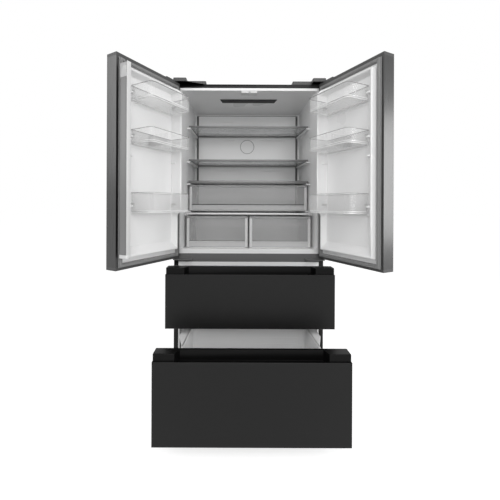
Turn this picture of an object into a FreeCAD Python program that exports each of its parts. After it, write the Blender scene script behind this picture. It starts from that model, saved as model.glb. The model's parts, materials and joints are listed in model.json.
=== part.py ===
import FreeCAD, Part
import math
import os

os.makedirs("parts", exist_ok=True)
V = FreeCAD.Vector

# French-door refrigerator with two freezer drawers, shown with its doors open and
# its drawers pulled out. X runs to the viewer's right, Y to the back, Z up.
# The floor is z = 0. Lengths are millimetres, angles are degrees.

# Overall sizes
width = 833.0
cabinet_depth = 560.0
cabinet_top = 1741.0
front_y = -55.0
door_thick = 64.6
gasket_gap = 12.0
sheet = 1.2
liner_wall = 2.5
running_gap = 0.3
bore_gap = 0.1
part_gap = 0.6
overrun = 5.0
half = width / 2
back_y = front_y + cabinet_depth
inner_y = front_y - gasket_gap

# Pose in which the model is drawn
left_open = 120.0
right_open = 116.0
upper_pulled = 137.5
lower_pulled = 372.0

# Doors and the rail under them
door_bottom = 777.0
door_drop = 9.5
centre_gap = 3.5
pivot_in = 12.0
pivot_back = 18.0
door_cap = 14.0
band_hinge = 14.0
band_free = 12.0
band_top = 18.0
band_bottom = 12.0
gasket_w = 20.0
rail_rise = 20.0
rail_drop = 26.5
door_top = cabinet_top - door_drop
door_high = door_top - door_bottom
leaf = half - centre_gap / 2
pivot = V(half - pivot_in, inner_y - pivot_back, 0)
rail_top = door_bottom + rail_rise
rail_bottom = door_bottom - rail_drop

# Fridge opening and inside, set in from the cabinet's sides, top and back
side_wall = 33.0
head_wall = 34.5
rear_wall = 170.0
flange_in = 24.5
flange_drop = 21.0
throat_in = 17.0
throat_depth = 60.0
rear_in = 14.5
lip_rise = 25.0
floor_rise = 2.0
floor_ramp = 27.0
ceiling_mid_drop = 3.0
ceiling_rear_drop = 23.0
opening_half = half - side_wall
opening_top = cabinet_top - head_wall
flange_half = half - flange_in
flange_top = cabinet_top - flange_drop
throat_half = opening_half - throat_in
rear_half = throat_half - rear_in
inside_depth = cabinet_depth - rear_wall
floor_lip_z = rail_top + lip_rise
floor_z = floor_lip_z + floor_rise
inside_high = opening_top - floor_z

# Freezer inside
freezer_floor = 92.0
freezer_side = 33.5
freezer_back = 160.0
step_z = 340.0
step_in = 110.0
lip_drop = 28.0
freezer_top = rail_bottom - lip_drop
freezer_half = half - freezer_side
freezer_depth = cabinet_depth - freezer_back
step_depth = freezer_depth - step_in

# Drawer fronts
lower_front_bottom = 60.0
lower_front_top = 413.5
handle_rise = 32.5
handle_gap = 13.0
door_gap = 19.5
front_thick = 64.6
upper_front_bottom = lower_front_top + handle_rise + handle_gap
upper_front_top = door_bottom - door_gap - handle_rise


def block(x0, x1, y0, y1, z0, z1):
    return Part.makeBox(x1 - x0, y1 - y0, z1 - z0, V(x0, y0, z0))


def prism(points, direction):
    """A flat polygon swept straight along a vector."""
    ring = Part.makePolygon(points + points[:1])
    return Part.Face(ring).extrude(direction)


def prism_x(points, x0, x1):
    return prism([V(x0, y, z) for y, z in points], V(x1 - x0, 0, 0))


def prism_y(points, y0, y1):
    return prism([V(x, y0, z) for x, z in points], V(0, y1 - y0, 0))


def prism_z(points, z0, z1):
    return prism([V(x, y, z0) for x, y in points], V(0, 0, z1 - z0))


def rod(radius, start, direction, length):
    return Part.makeCylinder(radius, length, start, direction)


def tube(outer, inner, start, direction, length):
    return rod(outer, start, direction, length).cut(rod(inner, start, direction, length))


def joined(shapes):
    """One solid from touching shapes."""
    whole = shapes[0]
    if len(shapes) > 1:
        whole = whole.fuse(shapes[1:])
    return whole.removeSplitter()


def mirrored(shape):
    """The same piece on the other side of the middle plane."""
    return shape.mirror(V(0, 0, 0), V(1, 0, 0))


def both_sides(shape):
    return [shape, mirrored(shape)]


def rounded(shape, radius, pick):
    """Fillets the edges that a test on the edge chooses."""
    return shape.makeFillet(radius, [e for e in shape.Edges if pick(e)])


def upright(e):
    """True for an edge that runs along Z."""
    a, b = e.Vertexes[0].Point, e.Vertexes[-1].Point
    return abs(a.x - b.x) + abs(a.y - b.y) < running_gap and abs(a.z - b.z) > part_gap


def along_x(e):
    a, b = e.Vertexes[0].Point, e.Vertexes[-1].Point
    return abs(a.z - b.z) + abs(a.y - b.y) < running_gap and abs(a.x - b.x) > part_gap


def save(name, shapes, place=None):
    """Writes one named piece, or a group of alike pieces, as a STEP file."""
    solids = []
    for shape in shapes:
        solids += (place(shape) if place else shape).Solids
    whole = Part.makeCompound(solids) if len(solids) > 1 else solids[0]
    if not whole.isValid():
        print("not valid:", name)
    whole.exportStep("parts/" + name + ".step")
    box = whole.BoundBox
    print("%-22s %2d solids %9.0f mm3  x %.0f %.0f  y %.0f %.0f  z %.0f %.0f" % (
        name, len(solids), whole.Volume, box.XMin, box.XMax, box.YMin, box.YMax,
        box.ZMin, box.ZMax))


def fridge_space(grow, front=0.0):
    """The fridge's inside, grown by a wall on every closed side.

    The plan narrows behind the throat and the ceiling drops to the back."""
    y0 = front_y - front
    y1 = front_y + inside_depth + grow
    mid = front_y + throat_depth
    plan = [(-opening_half - grow, y0), (opening_half + grow, y0),
            (throat_half + grow, mid), (rear_half + grow, y1),
            (-rear_half - grow, y1), (-throat_half - grow, mid)]
    top = opening_top + grow
    low = floor_lip_z - grow
    side = [(y0, low), (front_y, low), (front_y + floor_ramp, floor_z - grow),
            (y1, floor_z - grow), (y1, top - ceiling_rear_drop),
            (mid, top - ceiling_mid_drop), (front_y, top), (y0, top)]
    if front == 0:
        side = side[1:-1]
    tall = prism_z(plan, low - overrun, top + overrun)
    return tall.common(prism_x(side, -half, half))


def freezer_space(grow, front=0.0):
    """The freezer's inside with the step over the compressor."""
    y0 = front_y - front
    y1 = front_y + freezer_depth + grow
    ys = front_y + step_depth + grow
    wide = freezer_half + grow
    side = [(y0, freezer_floor - grow), (ys, freezer_floor - grow), (ys, step_z - grow),
            (y1, step_z - grow), (y1, freezer_top + grow), (y0, freezer_top + grow)]
    return prism_x(side, -wide, wide)


# Cabinet shell
base_z = 30.0
base_sheet = 1.5
machine_wall = 45.0
kick_top = freezer_floor - liner_wall
machine_front = front_y + step_depth + liner_wall + machine_wall
machine_top = step_z - liner_wall - machine_wall
rail_depth = 30.0
rail_wall = 1.5
low_rail_lift = 20.5
low_rail_rise = 27.0
low_rail_bottom = lower_front_top + low_rail_lift
low_rail_top = upper_front_bottom + low_rail_rise
inner_half = half - sheet

side = block(inner_half, half, front_y, back_y, base_z, cabinet_top - sheet)
side = joined([side, block(flange_half, half, front_y, front_y + sheet,
                           base_z, cabinet_top - sheet)])
top = block(-half, half, front_y, back_y, cabinet_top - sheet, cabinet_top)
top = joined([top, block(-flange_half, flange_half, front_y, front_y + sheet,
                         flange_top, cabinet_top)])
save("outer_panels", both_sides(side) + [top])

# The sheet back stops above the machine compartment and the cover closes that.
back_panel = block(-inner_half, inner_half, back_y - sheet, back_y,
                   machine_top, cabinet_top - sheet)
save("back_panel", [back_panel])

# Ledges inside the fridge that carry what slides or rests there
shelf_front = 110.0
board_clear = 14.0
board_side = 11.5
board_rear_side = 11.0
shelf_trim = 11.0
deli_cover_trim = 16.0
crisper_cover_trim = 10.0
crisper_cover_front = 28.0
deli_rise = 10.0
deli_front = 134.0
upper_shelf_share = 0.8086
lower_shelf_share = 0.5831
deli_cover_share = 0.4394
crisper_cover_share = 0.22555
board_back = inside_depth - board_clear
shelf_front_half = throat_half - board_side
board_back_half = rear_half - board_rear_side
shelf_tops = {"upper": floor_z + upper_shelf_share * inside_high,
              "lower": floor_z + lower_shelf_share * inside_high}
deli_cover_top = floor_z + deli_cover_share * inside_high
crisper_cover_top = floor_z + crisper_cover_share * inside_high
deli_bottom = crisper_cover_top + deli_rise
ledge_reach = 19.0
ledge_thick = 8.0


def ledge(top_z, y0, y1):
    """A pair of ledges on the side walls with their top at one height."""
    slab = block(-half, half, front_y + y0, front_y + y1, top_z - ledge_thick, top_z)
    ring = fridge_space(0).cut(fridge_space(-ledge_reach))
    sides = slab.common(ring)
    keep = [s for s in sides.Solids if abs(s.CenterOfMass.x) > rear_half / 2]
    keep = keep or [sides]
    middle = block(-rear_half + ledge_reach, rear_half - ledge_reach,
                   front_y, back_y, top_z - ledge_thick, top_z)
    return Part.makeCompound(keep).cut(middle)


shelf_ledges = [ledge(z - shelf_trim - running_gap, shelf_front, board_back)
                for z in shelf_tops.values()]
shelf_ledges.append(ledge(deli_cover_top - deli_cover_trim - running_gap,
                          shelf_front, board_back))
shelf_ledges.append(ledge(deli_bottom - running_gap, deli_front, board_back))
shelf_ledges.append(ledge(crisper_cover_top - crisper_cover_trim, throat_depth, board_back))
lip = block(-flange_half, flange_half, front_y, front_y + liner_wall,
            rail_top, flange_top)
fridge_liner = fridge_space(liner_wall).fuse(lip).cut(fridge_space(0, overrun))
fridge_liner = joined([fridge_liner] + [s for ledges in shelf_ledges for s in ledges.Solids])
save("fridge_liner", [fridge_liner])

freezer_lip = block(-flange_half, flange_half, front_y, front_y + liner_wall,
                    kick_top, rail_bottom)
freezer_liner = freezer_space(liner_wall).fuse(freezer_lip)
save("freezer_liner", [freezer_liner.cut(freezer_space(0, overrun))])


def cross_rail(reach, z0, z1):
    """A folded rail across the front, open to the back."""
    rail = block(-reach, reach, front_y, front_y + rail_depth, z0, z1)
    return rail.cut(block(-half, half, front_y + rail_wall, front_y + rail_depth + overrun,
                          z0 + rail_wall, z1 - rail_wall))


save("cross_rails", [cross_rail(flange_half, rail_bottom, rail_top),
                     cross_rail(freezer_half, low_rail_bottom, low_rail_top)])

# Base pan with the toe plate, machine deck, foot bosses and roller ears
foot_side = 56.5
foot_x = half - foot_side
foot_in = 45.0
foot_stem_r = 5.0
foot_pad_r = 17.0
foot_pad_h = 9.0
boss_r = 13.0
boss_h = 22.0
wheel_r = 18.0
wheel_w = 22.0
wheel_side = 76.5
wheel_x = half - wheel_side
wheel_in = 42.0
axle_r = 4.0
ear_thick = 4.0
ear_half = 14.0
wheel_y = back_y - wheel_in

plate = block(-inner_half, inner_half, front_y + base_sheet, back_y - sheet,
              base_z, base_z + base_sheet)
toe = block(-flange_half, flange_half, front_y, front_y + base_sheet, base_z, kick_top)
deck = [block(-inner_half, inner_half, machine_front - base_sheet, machine_front,
              base_z, machine_top + base_sheet),
        block(-inner_half, inner_half, machine_front - base_sheet, back_y - sheet,
              machine_top, machine_top + base_sheet)]
slot_rise = 8.0
slot_length = 60.0
slot_spacing = 90.0
slot_count = 7
bosses = [rod(boss_r, V(s * foot_x, front_y + foot_in, base_z), V(0, 0, 1), boss_h)
          for s in (-1, 1)]
ears = []
for s in (-1, 1):
    for offset in (-1, 1):
        x = s * wheel_x + offset * (wheel_w / 2 + ear_thick / 2 + part_gap)
        ears.append(block(x - ear_thick / 2, x + ear_thick / 2, wheel_y - ear_half,
                          wheel_y + ear_half, wheel_r - axle_r - ear_thick, base_z))
base_pan = joined([plate, toe] + deck + bosses + ears)
for s in (-1, 1):
    base_pan = base_pan.cut(rod(foot_stem_r + running_gap,
                                V(s * foot_x, front_y + foot_in, 0), V(0, 0, 1),
                                base_z + boss_h + overrun))
    base_pan = base_pan.cut(block(s * wheel_x - wheel_w / 2 - part_gap,
                                  s * wheel_x + wheel_w / 2 + part_gap,
                                  wheel_y - wheel_r, wheel_y + wheel_r,
                                  base_z - part_gap, base_z + base_sheet + part_gap))
base_pan = base_pan.cut(rod(axle_r + bore_gap, V(-half, wheel_y, wheel_r),
                            V(1, 0, 0), width))
for i in range(slot_count):
    x = (i - (slot_count - 1) / 2) * slot_spacing
    for z in (base_z + 2 * slot_rise, base_z + 4 * slot_rise):
        base_pan = base_pan.cut(block(x - slot_length / 2, x + slot_length / 2,
                                      front_y - overrun, front_y + base_sheet + part_gap,
                                      z, z + slot_rise))
save("base_pan", [base_pan])

foot = joined([rod(foot_pad_r, V(foot_x, front_y + foot_in, 0), V(0, 0, 1), foot_pad_h),
               rod(foot_stem_r, V(foot_x, front_y + foot_in, 0), V(0, 0, 1),
                   base_z + boss_h)])
save("levelling_feet", both_sides(foot))

foam = block(-inner_half, inner_half, front_y + liner_wall, back_y - sheet,
             base_z + base_sheet, cabinet_top - sheet)
foam = foam.cut(fridge_space(liner_wall)).cut(freezer_space(liner_wall)).cut(base_pan)
foam = foam.cut(block(-half, half, machine_front - base_sheet, back_y, 0,
                      machine_top + base_sheet))
foam = foam.cut(block(-half, half, front_y, front_y + rail_depth, rail_bottom, rail_top))
foam = foam.cut(block(-half, half, front_y, front_y + liner_wall + base_sheet, 0, kick_top))
for s in (-1, 1):
    foam = foam.cut(rod(foot_stem_r + running_gap, V(s * foot_x, front_y + foot_in, 0),
                        V(0, 0, 1), base_z + boss_h + overrun))
save("cabinet_foam", [foam])

wheels = [rod(wheel_r, V(s * wheel_x - wheel_w / 2, wheel_y, wheel_r), V(1, 0, 0), wheel_w)
          for s in (-1, 1)]
axle_half = wheel_x + wheel_w / 2 + ear_thick + 2 * part_gap
wheels.append(rod(axle_r, V(-axle_half, wheel_y, wheel_r), V(1, 0, 0), 2 * axle_half))
save("rear_rollers", [joined(wheels)])

# Machine compartment
shell_r = 62.0
shell_h = 150.0
dome_fillet = 24.0
machine_floor = base_z + base_sheet
machine_mid = (machine_front + back_y) / 2
compressor_x = -190.0
mount_half = 85.0
mount_thick = 4.0
grommet_r = 11.0
grommet_h = 14.0
terminal = 34.0


def compressor():
    low = machine_floor + grommet_h + mount_thick
    can = rod(shell_r, V(compressor_x, machine_mid, low), V(0, 0, 1), shell_h)
    can = rounded(can, dome_fillet, lambda e: e.Closed)
    feet = [block(compressor_x - mount_half, compressor_x + mount_half,
                  machine_mid - mount_half / 2, machine_mid + mount_half / 2,
                  low - mount_thick, low + mount_thick)]
    for a in (-1, 1):
        for b in (-1, 1):
            feet.append(rod(grommet_r, V(compressor_x + a * (mount_half - grommet_r),
                                         machine_mid + b * (mount_half / 2 - grommet_r),
                                         machine_floor), V(0, 0, 1), grommet_h))
    box = block(compressor_x + shell_r - terminal / 2, compressor_x + shell_r + terminal / 2,
                machine_mid - terminal / 2, machine_mid + terminal / 2,
                low + shell_h / 2 - terminal, low + shell_h / 2 + terminal)
    return joined([can, box] + feet)


save("compressor", [compressor()])


def finned_coil(x0, x1, y0, y1, z0, z1, rows, fins, tube_r, fin_thick):
    """Straight tubes through a bank of thin fins with end plates."""
    pieces = []
    pitch = (z1 - z0) / rows
    for i in range(rows):
        pieces.append(rod(tube_r, V(x0, (y0 + y1) / 2, z0 + (i + 1 / 2) * pitch),
                          V(1, 0, 0), x1 - x0))
    step = (x1 - x0 - fin_thick) / (fins - 1)
    for i in range(fins):
        pieces.append(block(x0 + i * step, x0 + i * step + fin_thick, y0, y1, z0, z1))
    return joined(pieces)


coil_x0 = 90.0
coil_x1 = 330.0
coil_half = 45.0
coil_rows = 5
coil_fins = 13
coil_tube_r = 4.0
fin_thick = 1.0
coil_h = 190.0
shroud_x = 60.0
shroud_thick = 3.0
shroud_half = 78.0
fan_r = 60.0
fan_gap = 4.0
hub_r = 16.0
hub_length = 18.0
motor_r = 20.0
motor_length = 30.0
spoke = 8.0
shaft_r = 3.0


def shroud(centre, normal, ring_half, thick):
    """A square plate with a round air hole, spokes and a motor with its shaft."""
    across = V(normal.y, normal.x, 0)
    lo = centre - across * ring_half - V(0, 0, ring_half)
    size = across * (2 * ring_half) + V(0, 0, 2 * ring_half) + normal * thick
    plate = Part.makeBox(size.x, size.y, size.z, lo)
    plate = plate.cut(rod(fan_r + fan_gap, centre - normal * overrun, normal,
                          thick + 2 * overrun))
    bars = [Part.makeBox(*(across * spoke + V(0, 0, 2 * ring_half) + normal * thick),
                         centre - across * (spoke / 2) - V(0, 0, ring_half)),
            Part.makeBox(*(across * (2 * ring_half) + V(0, 0, spoke) + normal * thick),
                         centre - across * ring_half - V(0, 0, spoke / 2))]
    motor = rod(motor_r, centre - normal * motor_length, normal, motor_length + thick)
    shaft = rod(shaft_r, centre, normal, thick + part_gap + hub_length)
    return joined([plate, motor, shaft] + bars)


def fan(centre, normal, thick):
    """A hub with pitched blades, bored for the motor's shaft."""
    start = centre + normal * (thick + part_gap)
    hub = rod(hub_r, start, normal, hub_length)
    blades = []
    for i in range(blade_count):
        blade = Part.makeBox(fan_r - hub_r + blade_root, blade_thick, blade_width,
                             V(hub_r - blade_root, -blade_thick / 2, -blade_width / 2))
        blade.rotate(V(0, 0, 0), V(1, 0, 0), blade_pitch)
        blade.rotate(V(0, 0, 0), V(0, 0, 1), i * 360 / blade_count)
        blade.Placement = FreeCAD.Placement(
            start + normal * (hub_length / 2),
            FreeCAD.Rotation(V(0, 0, 1), normal)).multiply(blade.Placement)
        blades.append(blade)
    whole = joined([hub] + blades)
    return whole.cut(rod(shaft_r + bore_gap, start - normal * overrun, normal,
                         hub_length + 2 * overrun))


blade_count = 5
blade_root = 4.0
blade_thick = 1.6
blade_width = 17.0
blade_pitch = 55.0

condenser_coil = finned_coil(coil_x0, coil_x1, machine_mid - coil_half, machine_mid + coil_half,
                             machine_floor, machine_floor + coil_h, coil_rows, coil_fins,
                             coil_tube_r, fin_thick)
fan_centre = V(shroud_x, machine_mid, machine_floor + shroud_half)
save("condenser", [condenser_coil, shroud(fan_centre, V(1, 0, 0), shroud_half, shroud_thick)])
save("condenser_fan", [fan(fan_centre, V(1, 0, 0), shroud_thick)])

cover_thick = 2.0
vent_w = 60.0
vent_h = 5.0
vent_spacing = 14.0
vent_rows = 9
gland_r = 11.0
gland_bore = 4.0
gland_length = 24.0
gland_x = 250.0
gland_z = 70.0
cover_low = base_z + base_sheet
machine_cover = block(-inner_half, inner_half, back_y - sheet, back_y - sheet + cover_thick,
                      cover_low, machine_top)
for x in (-2 * slot_spacing - vent_w, -slot_spacing, slot_spacing, 2 * slot_spacing + vent_w):
    for i in range(vent_rows):
        z = cover_low + gland_z + i * vent_spacing
        machine_cover = machine_cover.cut(block(x - vent_w / 2, x + vent_w / 2,
                                                back_y - overrun, back_y + overrun,
                                                z, z + vent_h))
gland_at = V(gland_x, back_y - sheet - gland_length / 2, gland_z)
machine_cover = machine_cover.cut(rod(gland_bore + vent_h, gland_at, V(0, 1, 0), gland_length))
gland = joined([rod(gland_bore + vent_h, gland_at, V(0, 1, 0), gland_length),
                rod(gland_r, gland_at + V(0, gland_length / 2 + cover_thick, 0),
                    V(0, 1, 0), vent_h)])
gland = gland.cut(rod(gland_bore, gland_at - V(0, overrun, 0), V(0, 1, 0), 2 * gland_length))
save("machine_cover", [machine_cover, gland])

# Evaporator, its cover and fan at the back of the freezer
evap_room = 62.0
evap_cover_y = freezer_depth - evap_room
evap_cover_thick = 4.0
evap_half = 210.0
evap_depth = 40.0
evap_rise = 32.0
evap_rows = 6
evap_fins = 15
evap_fan_drop = 98.0
evap_fan_box = 76.0
evap_fan_gap = 14.0
evap_low = step_z + evap_rise
evap_fan_z = freezer_top - evap_fan_drop
evap_high = evap_fan_z - evap_fan_box - evap_fan_gap
evap_y = front_y + evap_cover_y + evap_cover_thick
grille_count = 9
grille_w = 7.0
grille_spacing = 13.0
grille_h = 90.0

evap_mid = front_y + freezer_depth - evap_depth / 2
save("evaporator", [finned_coil(-evap_half, evap_half, evap_mid - evap_depth / 2,
                                evap_mid + evap_depth / 2, evap_low, evap_high,
                                evap_rows, evap_fins, coil_tube_r, fin_thick)])
evap_cover = block(-freezer_half, freezer_half, evap_y - evap_cover_thick, evap_y,
                   step_z, freezer_top)
for i in range(grille_count):
    x = (i - (grille_count - 1) / 2) * grille_spacing
    for z in (evap_fan_z - grille_h / 2, step_z + grille_spacing):
        evap_cover = evap_cover.cut(block(x - grille_w / 2, x + grille_w / 2,
                                          evap_y - evap_cover_thick - overrun,
                                          evap_y + overrun, z,
                                          z + (grille_h if z > evap_high else grille_spacing)))
evap_fan_at = V(0, evap_y + motor_length, evap_fan_z)
fan_mount = shroud(evap_fan_at, V(0, 1, 0), evap_fan_box, shroud_thick)
save("evaporator_cover", [evap_cover, fan_mount])
save("evaporator_fan", [fan(evap_fan_at, V(0, 1, 0), shroud_thick)])

# Air duct panel behind the shelves with a bare ring
duct_side = 24.0
duct_half = rear_half - duct_side
duct_thick = 8.0
duct_corner = 12.0
ring_share = 0.7245
ring_z = floor_z + ring_share * inside_high
ring_r = 45.0
ring_line = 2.4
ring_rise = 1.2
duct_slot_w = 150.0
duct_slot_h = 5.0
duct_slot_shares = [0.9066, 0.7699, 0.5308, 0.3713]
duct_front = front_y + inside_depth - duct_thick
duct_low = crisper_cover_top + running_gap
duct_high = opening_top - ceiling_rear_drop - duct_corner
duct = block(-duct_half, duct_half, duct_front, duct_front + duct_thick, duct_low, duct_high)
duct = rounded(duct, duct_corner / 2, lambda e: e.BoundBox.YLength > duct_thick - part_gap
               and e.BoundBox.ZLength < part_gap)
duct = duct.fuse(tube(ring_r, ring_r - ring_line, V(0, duct_front - ring_rise, ring_z),
                      V(0, 1, 0), ring_rise))
for share in duct_slot_shares:
    z = floor_z + share * inside_high
    for s in (-1, 1):
        duct = duct.cut(block(s * duct_half / 2 - duct_slot_w / 2,
                              s * duct_half / 2 + duct_slot_w / 2,
                              duct_front - overrun, duct_front + duct_thick / 2,
                              z, z + duct_slot_h))
save("duct_panel", [duct.removeSplitter()])

# Ceiling lamp, trapezoid as seen from the front
lamp_near = 169.5
lamp_far = 158.5
lamp_front_share = 0.3205
lamp_rear_share = 0.459
lamp_y0 = lamp_front_share * inside_depth
lamp_y1 = lamp_rear_share * inside_depth
lamp_drop = 11.0
lamp_low = opening_top - lamp_drop
lamp = prism_z([(-lamp_near, front_y + lamp_y0), (lamp_near, front_y + lamp_y0),
                (lamp_far, front_y + lamp_y1), (-lamp_far, front_y + lamp_y1)],
               lamp_low, opening_top)
save("ceiling_lamp", [lamp.common(fridge_space(0))])

# Flipping mullion: the corner by its pin is round about the pin
mullion_w = 48.0
mullion_t = 25.0
mullion_in = 4.75
mullion_reach = leaf - mullion_in
mullion_clear = 0.5
mullion_floor_gap = 10.0
mullion_drop = 30.0
mullion_low = floor_z + mullion_floor_gap
mullion_high = opening_top - mullion_drop
mullion_skin = 1.2
mullion_start = gasket_gap + mullion_clear
pin_u = (mullion_reach + half - mullion_w / 2) / 2
nose_r = mullion_reach - pin_u
pin_v = mullion_start + nose_r
mullion_pin = V(-half + pin_u, inner_y + pin_v, 0)
peg_r = 4.0
peg_drop = 5.0
peg_high = opening_top - peg_drop
peg_clear = 1.5


def mullion_slab(grow, z0, z1):
    """Folded mullion section beside the left door, in the closed door's place."""
    u1, u0 = mullion_reach + grow, mullion_reach - mullion_t - grow
    v0, v1 = mullion_start - grow, mullion_start + mullion_w + grow
    slab = block(-half + u0, -half + u1, inner_y + v0, inner_y + v1, z0, z1)
    corner = block(-half + pin_u, -half + u1, inner_y + v0, inner_y + pin_v, z0, z1)
    nose = rod(nose_r + grow, V(-half + pin_u, inner_y + pin_v, z0), V(0, 0, 1), z1 - z0)
    return slab.cut(corner).fuse(nose.common(corner)).removeSplitter()


peg_u = mullion_reach - mullion_t + peg_r + mullion_skin + peg_clear
peg_v = mullion_start + mullion_w / 2
peg_at = V(-half + peg_u, inner_y + peg_v, 0)

# Guide block over the mullion: its groove follows the peg's own path
guide_half = 44.0
guide_front = 3.0
guide_depth = 46.0
guide_drop = 11.0
guide_low = opening_top - guide_drop
guide_steps = 16
guide_sweep = 32.0
guide = block(-guide_half, guide_half, front_y + guide_front, front_y + guide_depth,
              guide_low, opening_top).common(fridge_space(0))
fold = 90.0
for i in range(guide_steps + 1):
    angle = guide_sweep * i / guide_steps
    cut = rod(peg_r + peg_clear, V(peg_at.x, peg_at.y, guide_low - overrun), V(0, 0, 1),
              peg_high + peg_clear - guide_low + overrun)
    cut.rotate(V(mullion_pin.x, mullion_pin.y, 0), V(0, 0, 1),
               -fold + fold * angle / left_open)
    cut.rotate(V(-pivot.x, pivot.y, 0), V(0, 0, 1), -angle)
    guide = guide.cut(cut)
save("mullion_guide", guide.Solids)

# Hinges: a plate with a pin on top, and one on the centre rail under each door
pin_r = 7.0
pin_depth = 26.0
hinge_plate = 4.0
hinge_length = 116.5
hinge_x0 = half - hinge_length
hinge_back = 70.0
hinge_step = 5.0
hinge_round = 14.0
lower_plate = 5.0
lower_drop = 6.0
lower_length = 102.5
lower_x0 = half - lower_length
lower_flange = 20.0
lower_flange_thick = 3.0
cover_skin = 2.0
hinge_edge = half - cover_skin - part_gap


def top_hinge():
    y = pivot.y
    arm = block(pivot.x - hinge_round, hinge_edge, y - hinge_round, front_y + hinge_back,
                cabinet_top, cabinet_top + hinge_plate)
    foot = block(hinge_x0, hinge_edge, front_y + hinge_step, front_y + hinge_back,
                 cabinet_top, cabinet_top + hinge_plate)
    pin = rod(pin_r, V(pivot.x, y, door_top - pin_depth), V(0, 0, 1),
              cabinet_top + hinge_plate - door_top + pin_depth)
    return joined([arm, foot, pin])


def lower_hinge():
    y = pivot.y
    low = door_bottom - lower_drop - lower_plate
    arm = block(lower_x0, hinge_edge, y - hinge_round,
                front_y - lower_flange_thick, low, low + lower_plate)
    flange = block(lower_x0, flange_half, front_y - lower_flange_thick, front_y,
                   low, low + lower_flange)
    pin = rod(pin_r, V(pivot.x, y, low), V(0, 0, 1), lower_plate + lower_drop + pin_depth)
    return joined([arm, flange, pin])


save("door_hinges", both_sides(top_hinge()) + both_sides(lower_hinge()))

cover_length = 174.5
cover_x0 = half - cover_length
cover_back = 112.0
cover_rise = 19.0
cover_high = cabinet_top + cover_rise
cover_neck_w = 71.5
cover_neck = half - cover_neck_w
cover_front = 47.0
cover_round = 6.0


def hinge_cover(shrink):
    x0, x1 = cover_x0 + shrink, half - shrink
    high = cover_high - shrink
    box = block(x0, x1, front_y + shrink, front_y + cover_back - shrink, cabinet_top, high)
    neck = block(cover_neck + shrink, x1, front_y - cover_front + shrink,
                 front_y + cover_back / 2, cabinet_top, high)
    whole = joined([box, neck])
    return rounded(whole, cover_round, upright) if shrink == 0 else whole


outer = hinge_cover(0)
outer = rounded(outer, cover_round / 2, lambda e: e.BoundBox.ZLength < part_gap
                and e.BoundBox.ZMin > cover_high - part_gap)
save("hinge_covers", both_sides(outer.cut(hinge_cover(cover_skin))))

# Crisper cover: a glass plate in a slim frame on the lowest pair of ledges
rebate = 4.0
frame_side = 6.0
frame_rear = 9.0
glass_thick = 4.0
glass_drop = 1.0


def board_plan(y0, y1, x0, x1, inset, front_inset, back_inset):
    """A plan that narrows to the back, with an inset on each edge."""
    slope = (x0 - x1) / (y1 - y0)
    xa = x0 - inset - front_inset * slope
    xb = x1 - inset + back_inset * slope
    ya, yb = front_y + y0 + front_inset, front_y + y1 - back_inset
    return [(-xa, ya), (xa, ya), (xb, yb), (-xb, yb)]


def shelf_board(y0, y1, x0, x1, top_z, trim, front_w, back_drop=0.0):
    """A glass board and the frame that holds it on a rebate."""
    outer_plan = board_plan(y0, y1, x0, x1, 0, 0, 0)
    inner_plan = board_plan(y0, y1, x0, x1, frame_side, front_w, frame_rear)
    lip_plan = board_plan(y0, y1, x0, x1, frame_side + rebate, front_w + rebate,
                          frame_rear + rebate)
    glass_top = top_z - glass_drop
    glass_low = glass_top - glass_thick
    frame = prism_z(outer_plan, top_z - trim, top_z)
    frame = frame.cut(prism_z(inner_plan, glass_low, top_z + overrun))
    frame = frame.cut(prism_z(lip_plan, top_z - trim - overrun, glass_low))
    return frame.removeSplitter(), prism_z(inner_plan, glass_low, glass_top)


crisper_cover_side = 9.5
crisper_cover_half = throat_half - crisper_cover_side
crisper_frame, crisper_glass = shelf_board(
    crisper_cover_front, board_back, crisper_cover_half, board_back_half,
    crisper_cover_top, crisper_cover_trim, 2 * frame_side)
save("crisper_cover", [crisper_frame, crisper_glass])


# Doors are shaped closed on the right-hand side. Along the door u runs from the
# hinge edge to the free edge, v runs from the inner face into the cabinet.
front_round = 4.0
grip_front = 50.0
grip_back = 22.0
grip_depth = 26.0
grip_in = 40.0
grip_length = 240.0
grip_wall = 2.0
dyke_tall = 62.0
dyke_low = 26.0
dyke_free = 30.0
dyke_foot = 28.0
dyke_top = 14.0
dyke_under = 5.0
dyke_lean_w = 16.0
dyke_crest_w = 10.0
level_in = 10.0
rim_top = 14.0
rim_bottom = 18.0
level_foot = 48.0
slope_run = 4.0
rim_margin = 2.0
lug_w = 7.0
lug_depth = 26.0
lug_height = 10.0
lug_rise = 26.0
stop_u = 38.0
stop_length = 65.0
stop_rise = 6.0
stop_deep = 44.0
cap_skirt = 2.0
top_bin_h = 68.0
middle_bin_h = 65.0
bottom_bin_h = 91.0
top_bin_drop = 191.5
bottom_bin_rise = 8.0
middle_bin_share = 0.593
spare_lug_share = 0.5039
bins = {"top": (door_top - top_bin_drop, top_bin_h),
        "middle": (door_bottom + middle_bin_share * door_high, middle_bin_h),
        "bottom": (crisper_cover_top + bottom_bin_rise, bottom_bin_h)}
spare_lug_z = door_bottom + spare_lug_share * door_high
dyke_split_z = bins["bottom"][0] - dyke_under
tab_in = 4.0
tab_length = 44.0
tab_v1 = 29.0
tab_thick = 4.5
tab_u1 = mullion_reach - tab_in
tab_u0 = tab_u1 - tab_length
bin_u0 = 70.0
bin_free = 73.75
bin_u1 = leaf - bin_free
bin_v0 = 4.0
bin_v1 = 137.0
bin_wall = 2.5
bin_base = 3.0
bin_corner = 16.0
bin_lip = 5.0
bin_lip_h = 8.0
ear_h = 6.0
divider_in = 105.0
divider_u = bin_u1 - divider_in

u_liner = band_hinge + gasket_w
u_liner_end = leaf - band_free - gasket_w
z_liner = door_bottom + band_bottom + gasket_w
z_liner_end = door_top - band_top - gasket_w


def at_door(u0, u1, v0, v1, z0, z1):
    return block(half - u1, half - u0, inner_y + v0, inner_y + v1, z0, z1)


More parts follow.
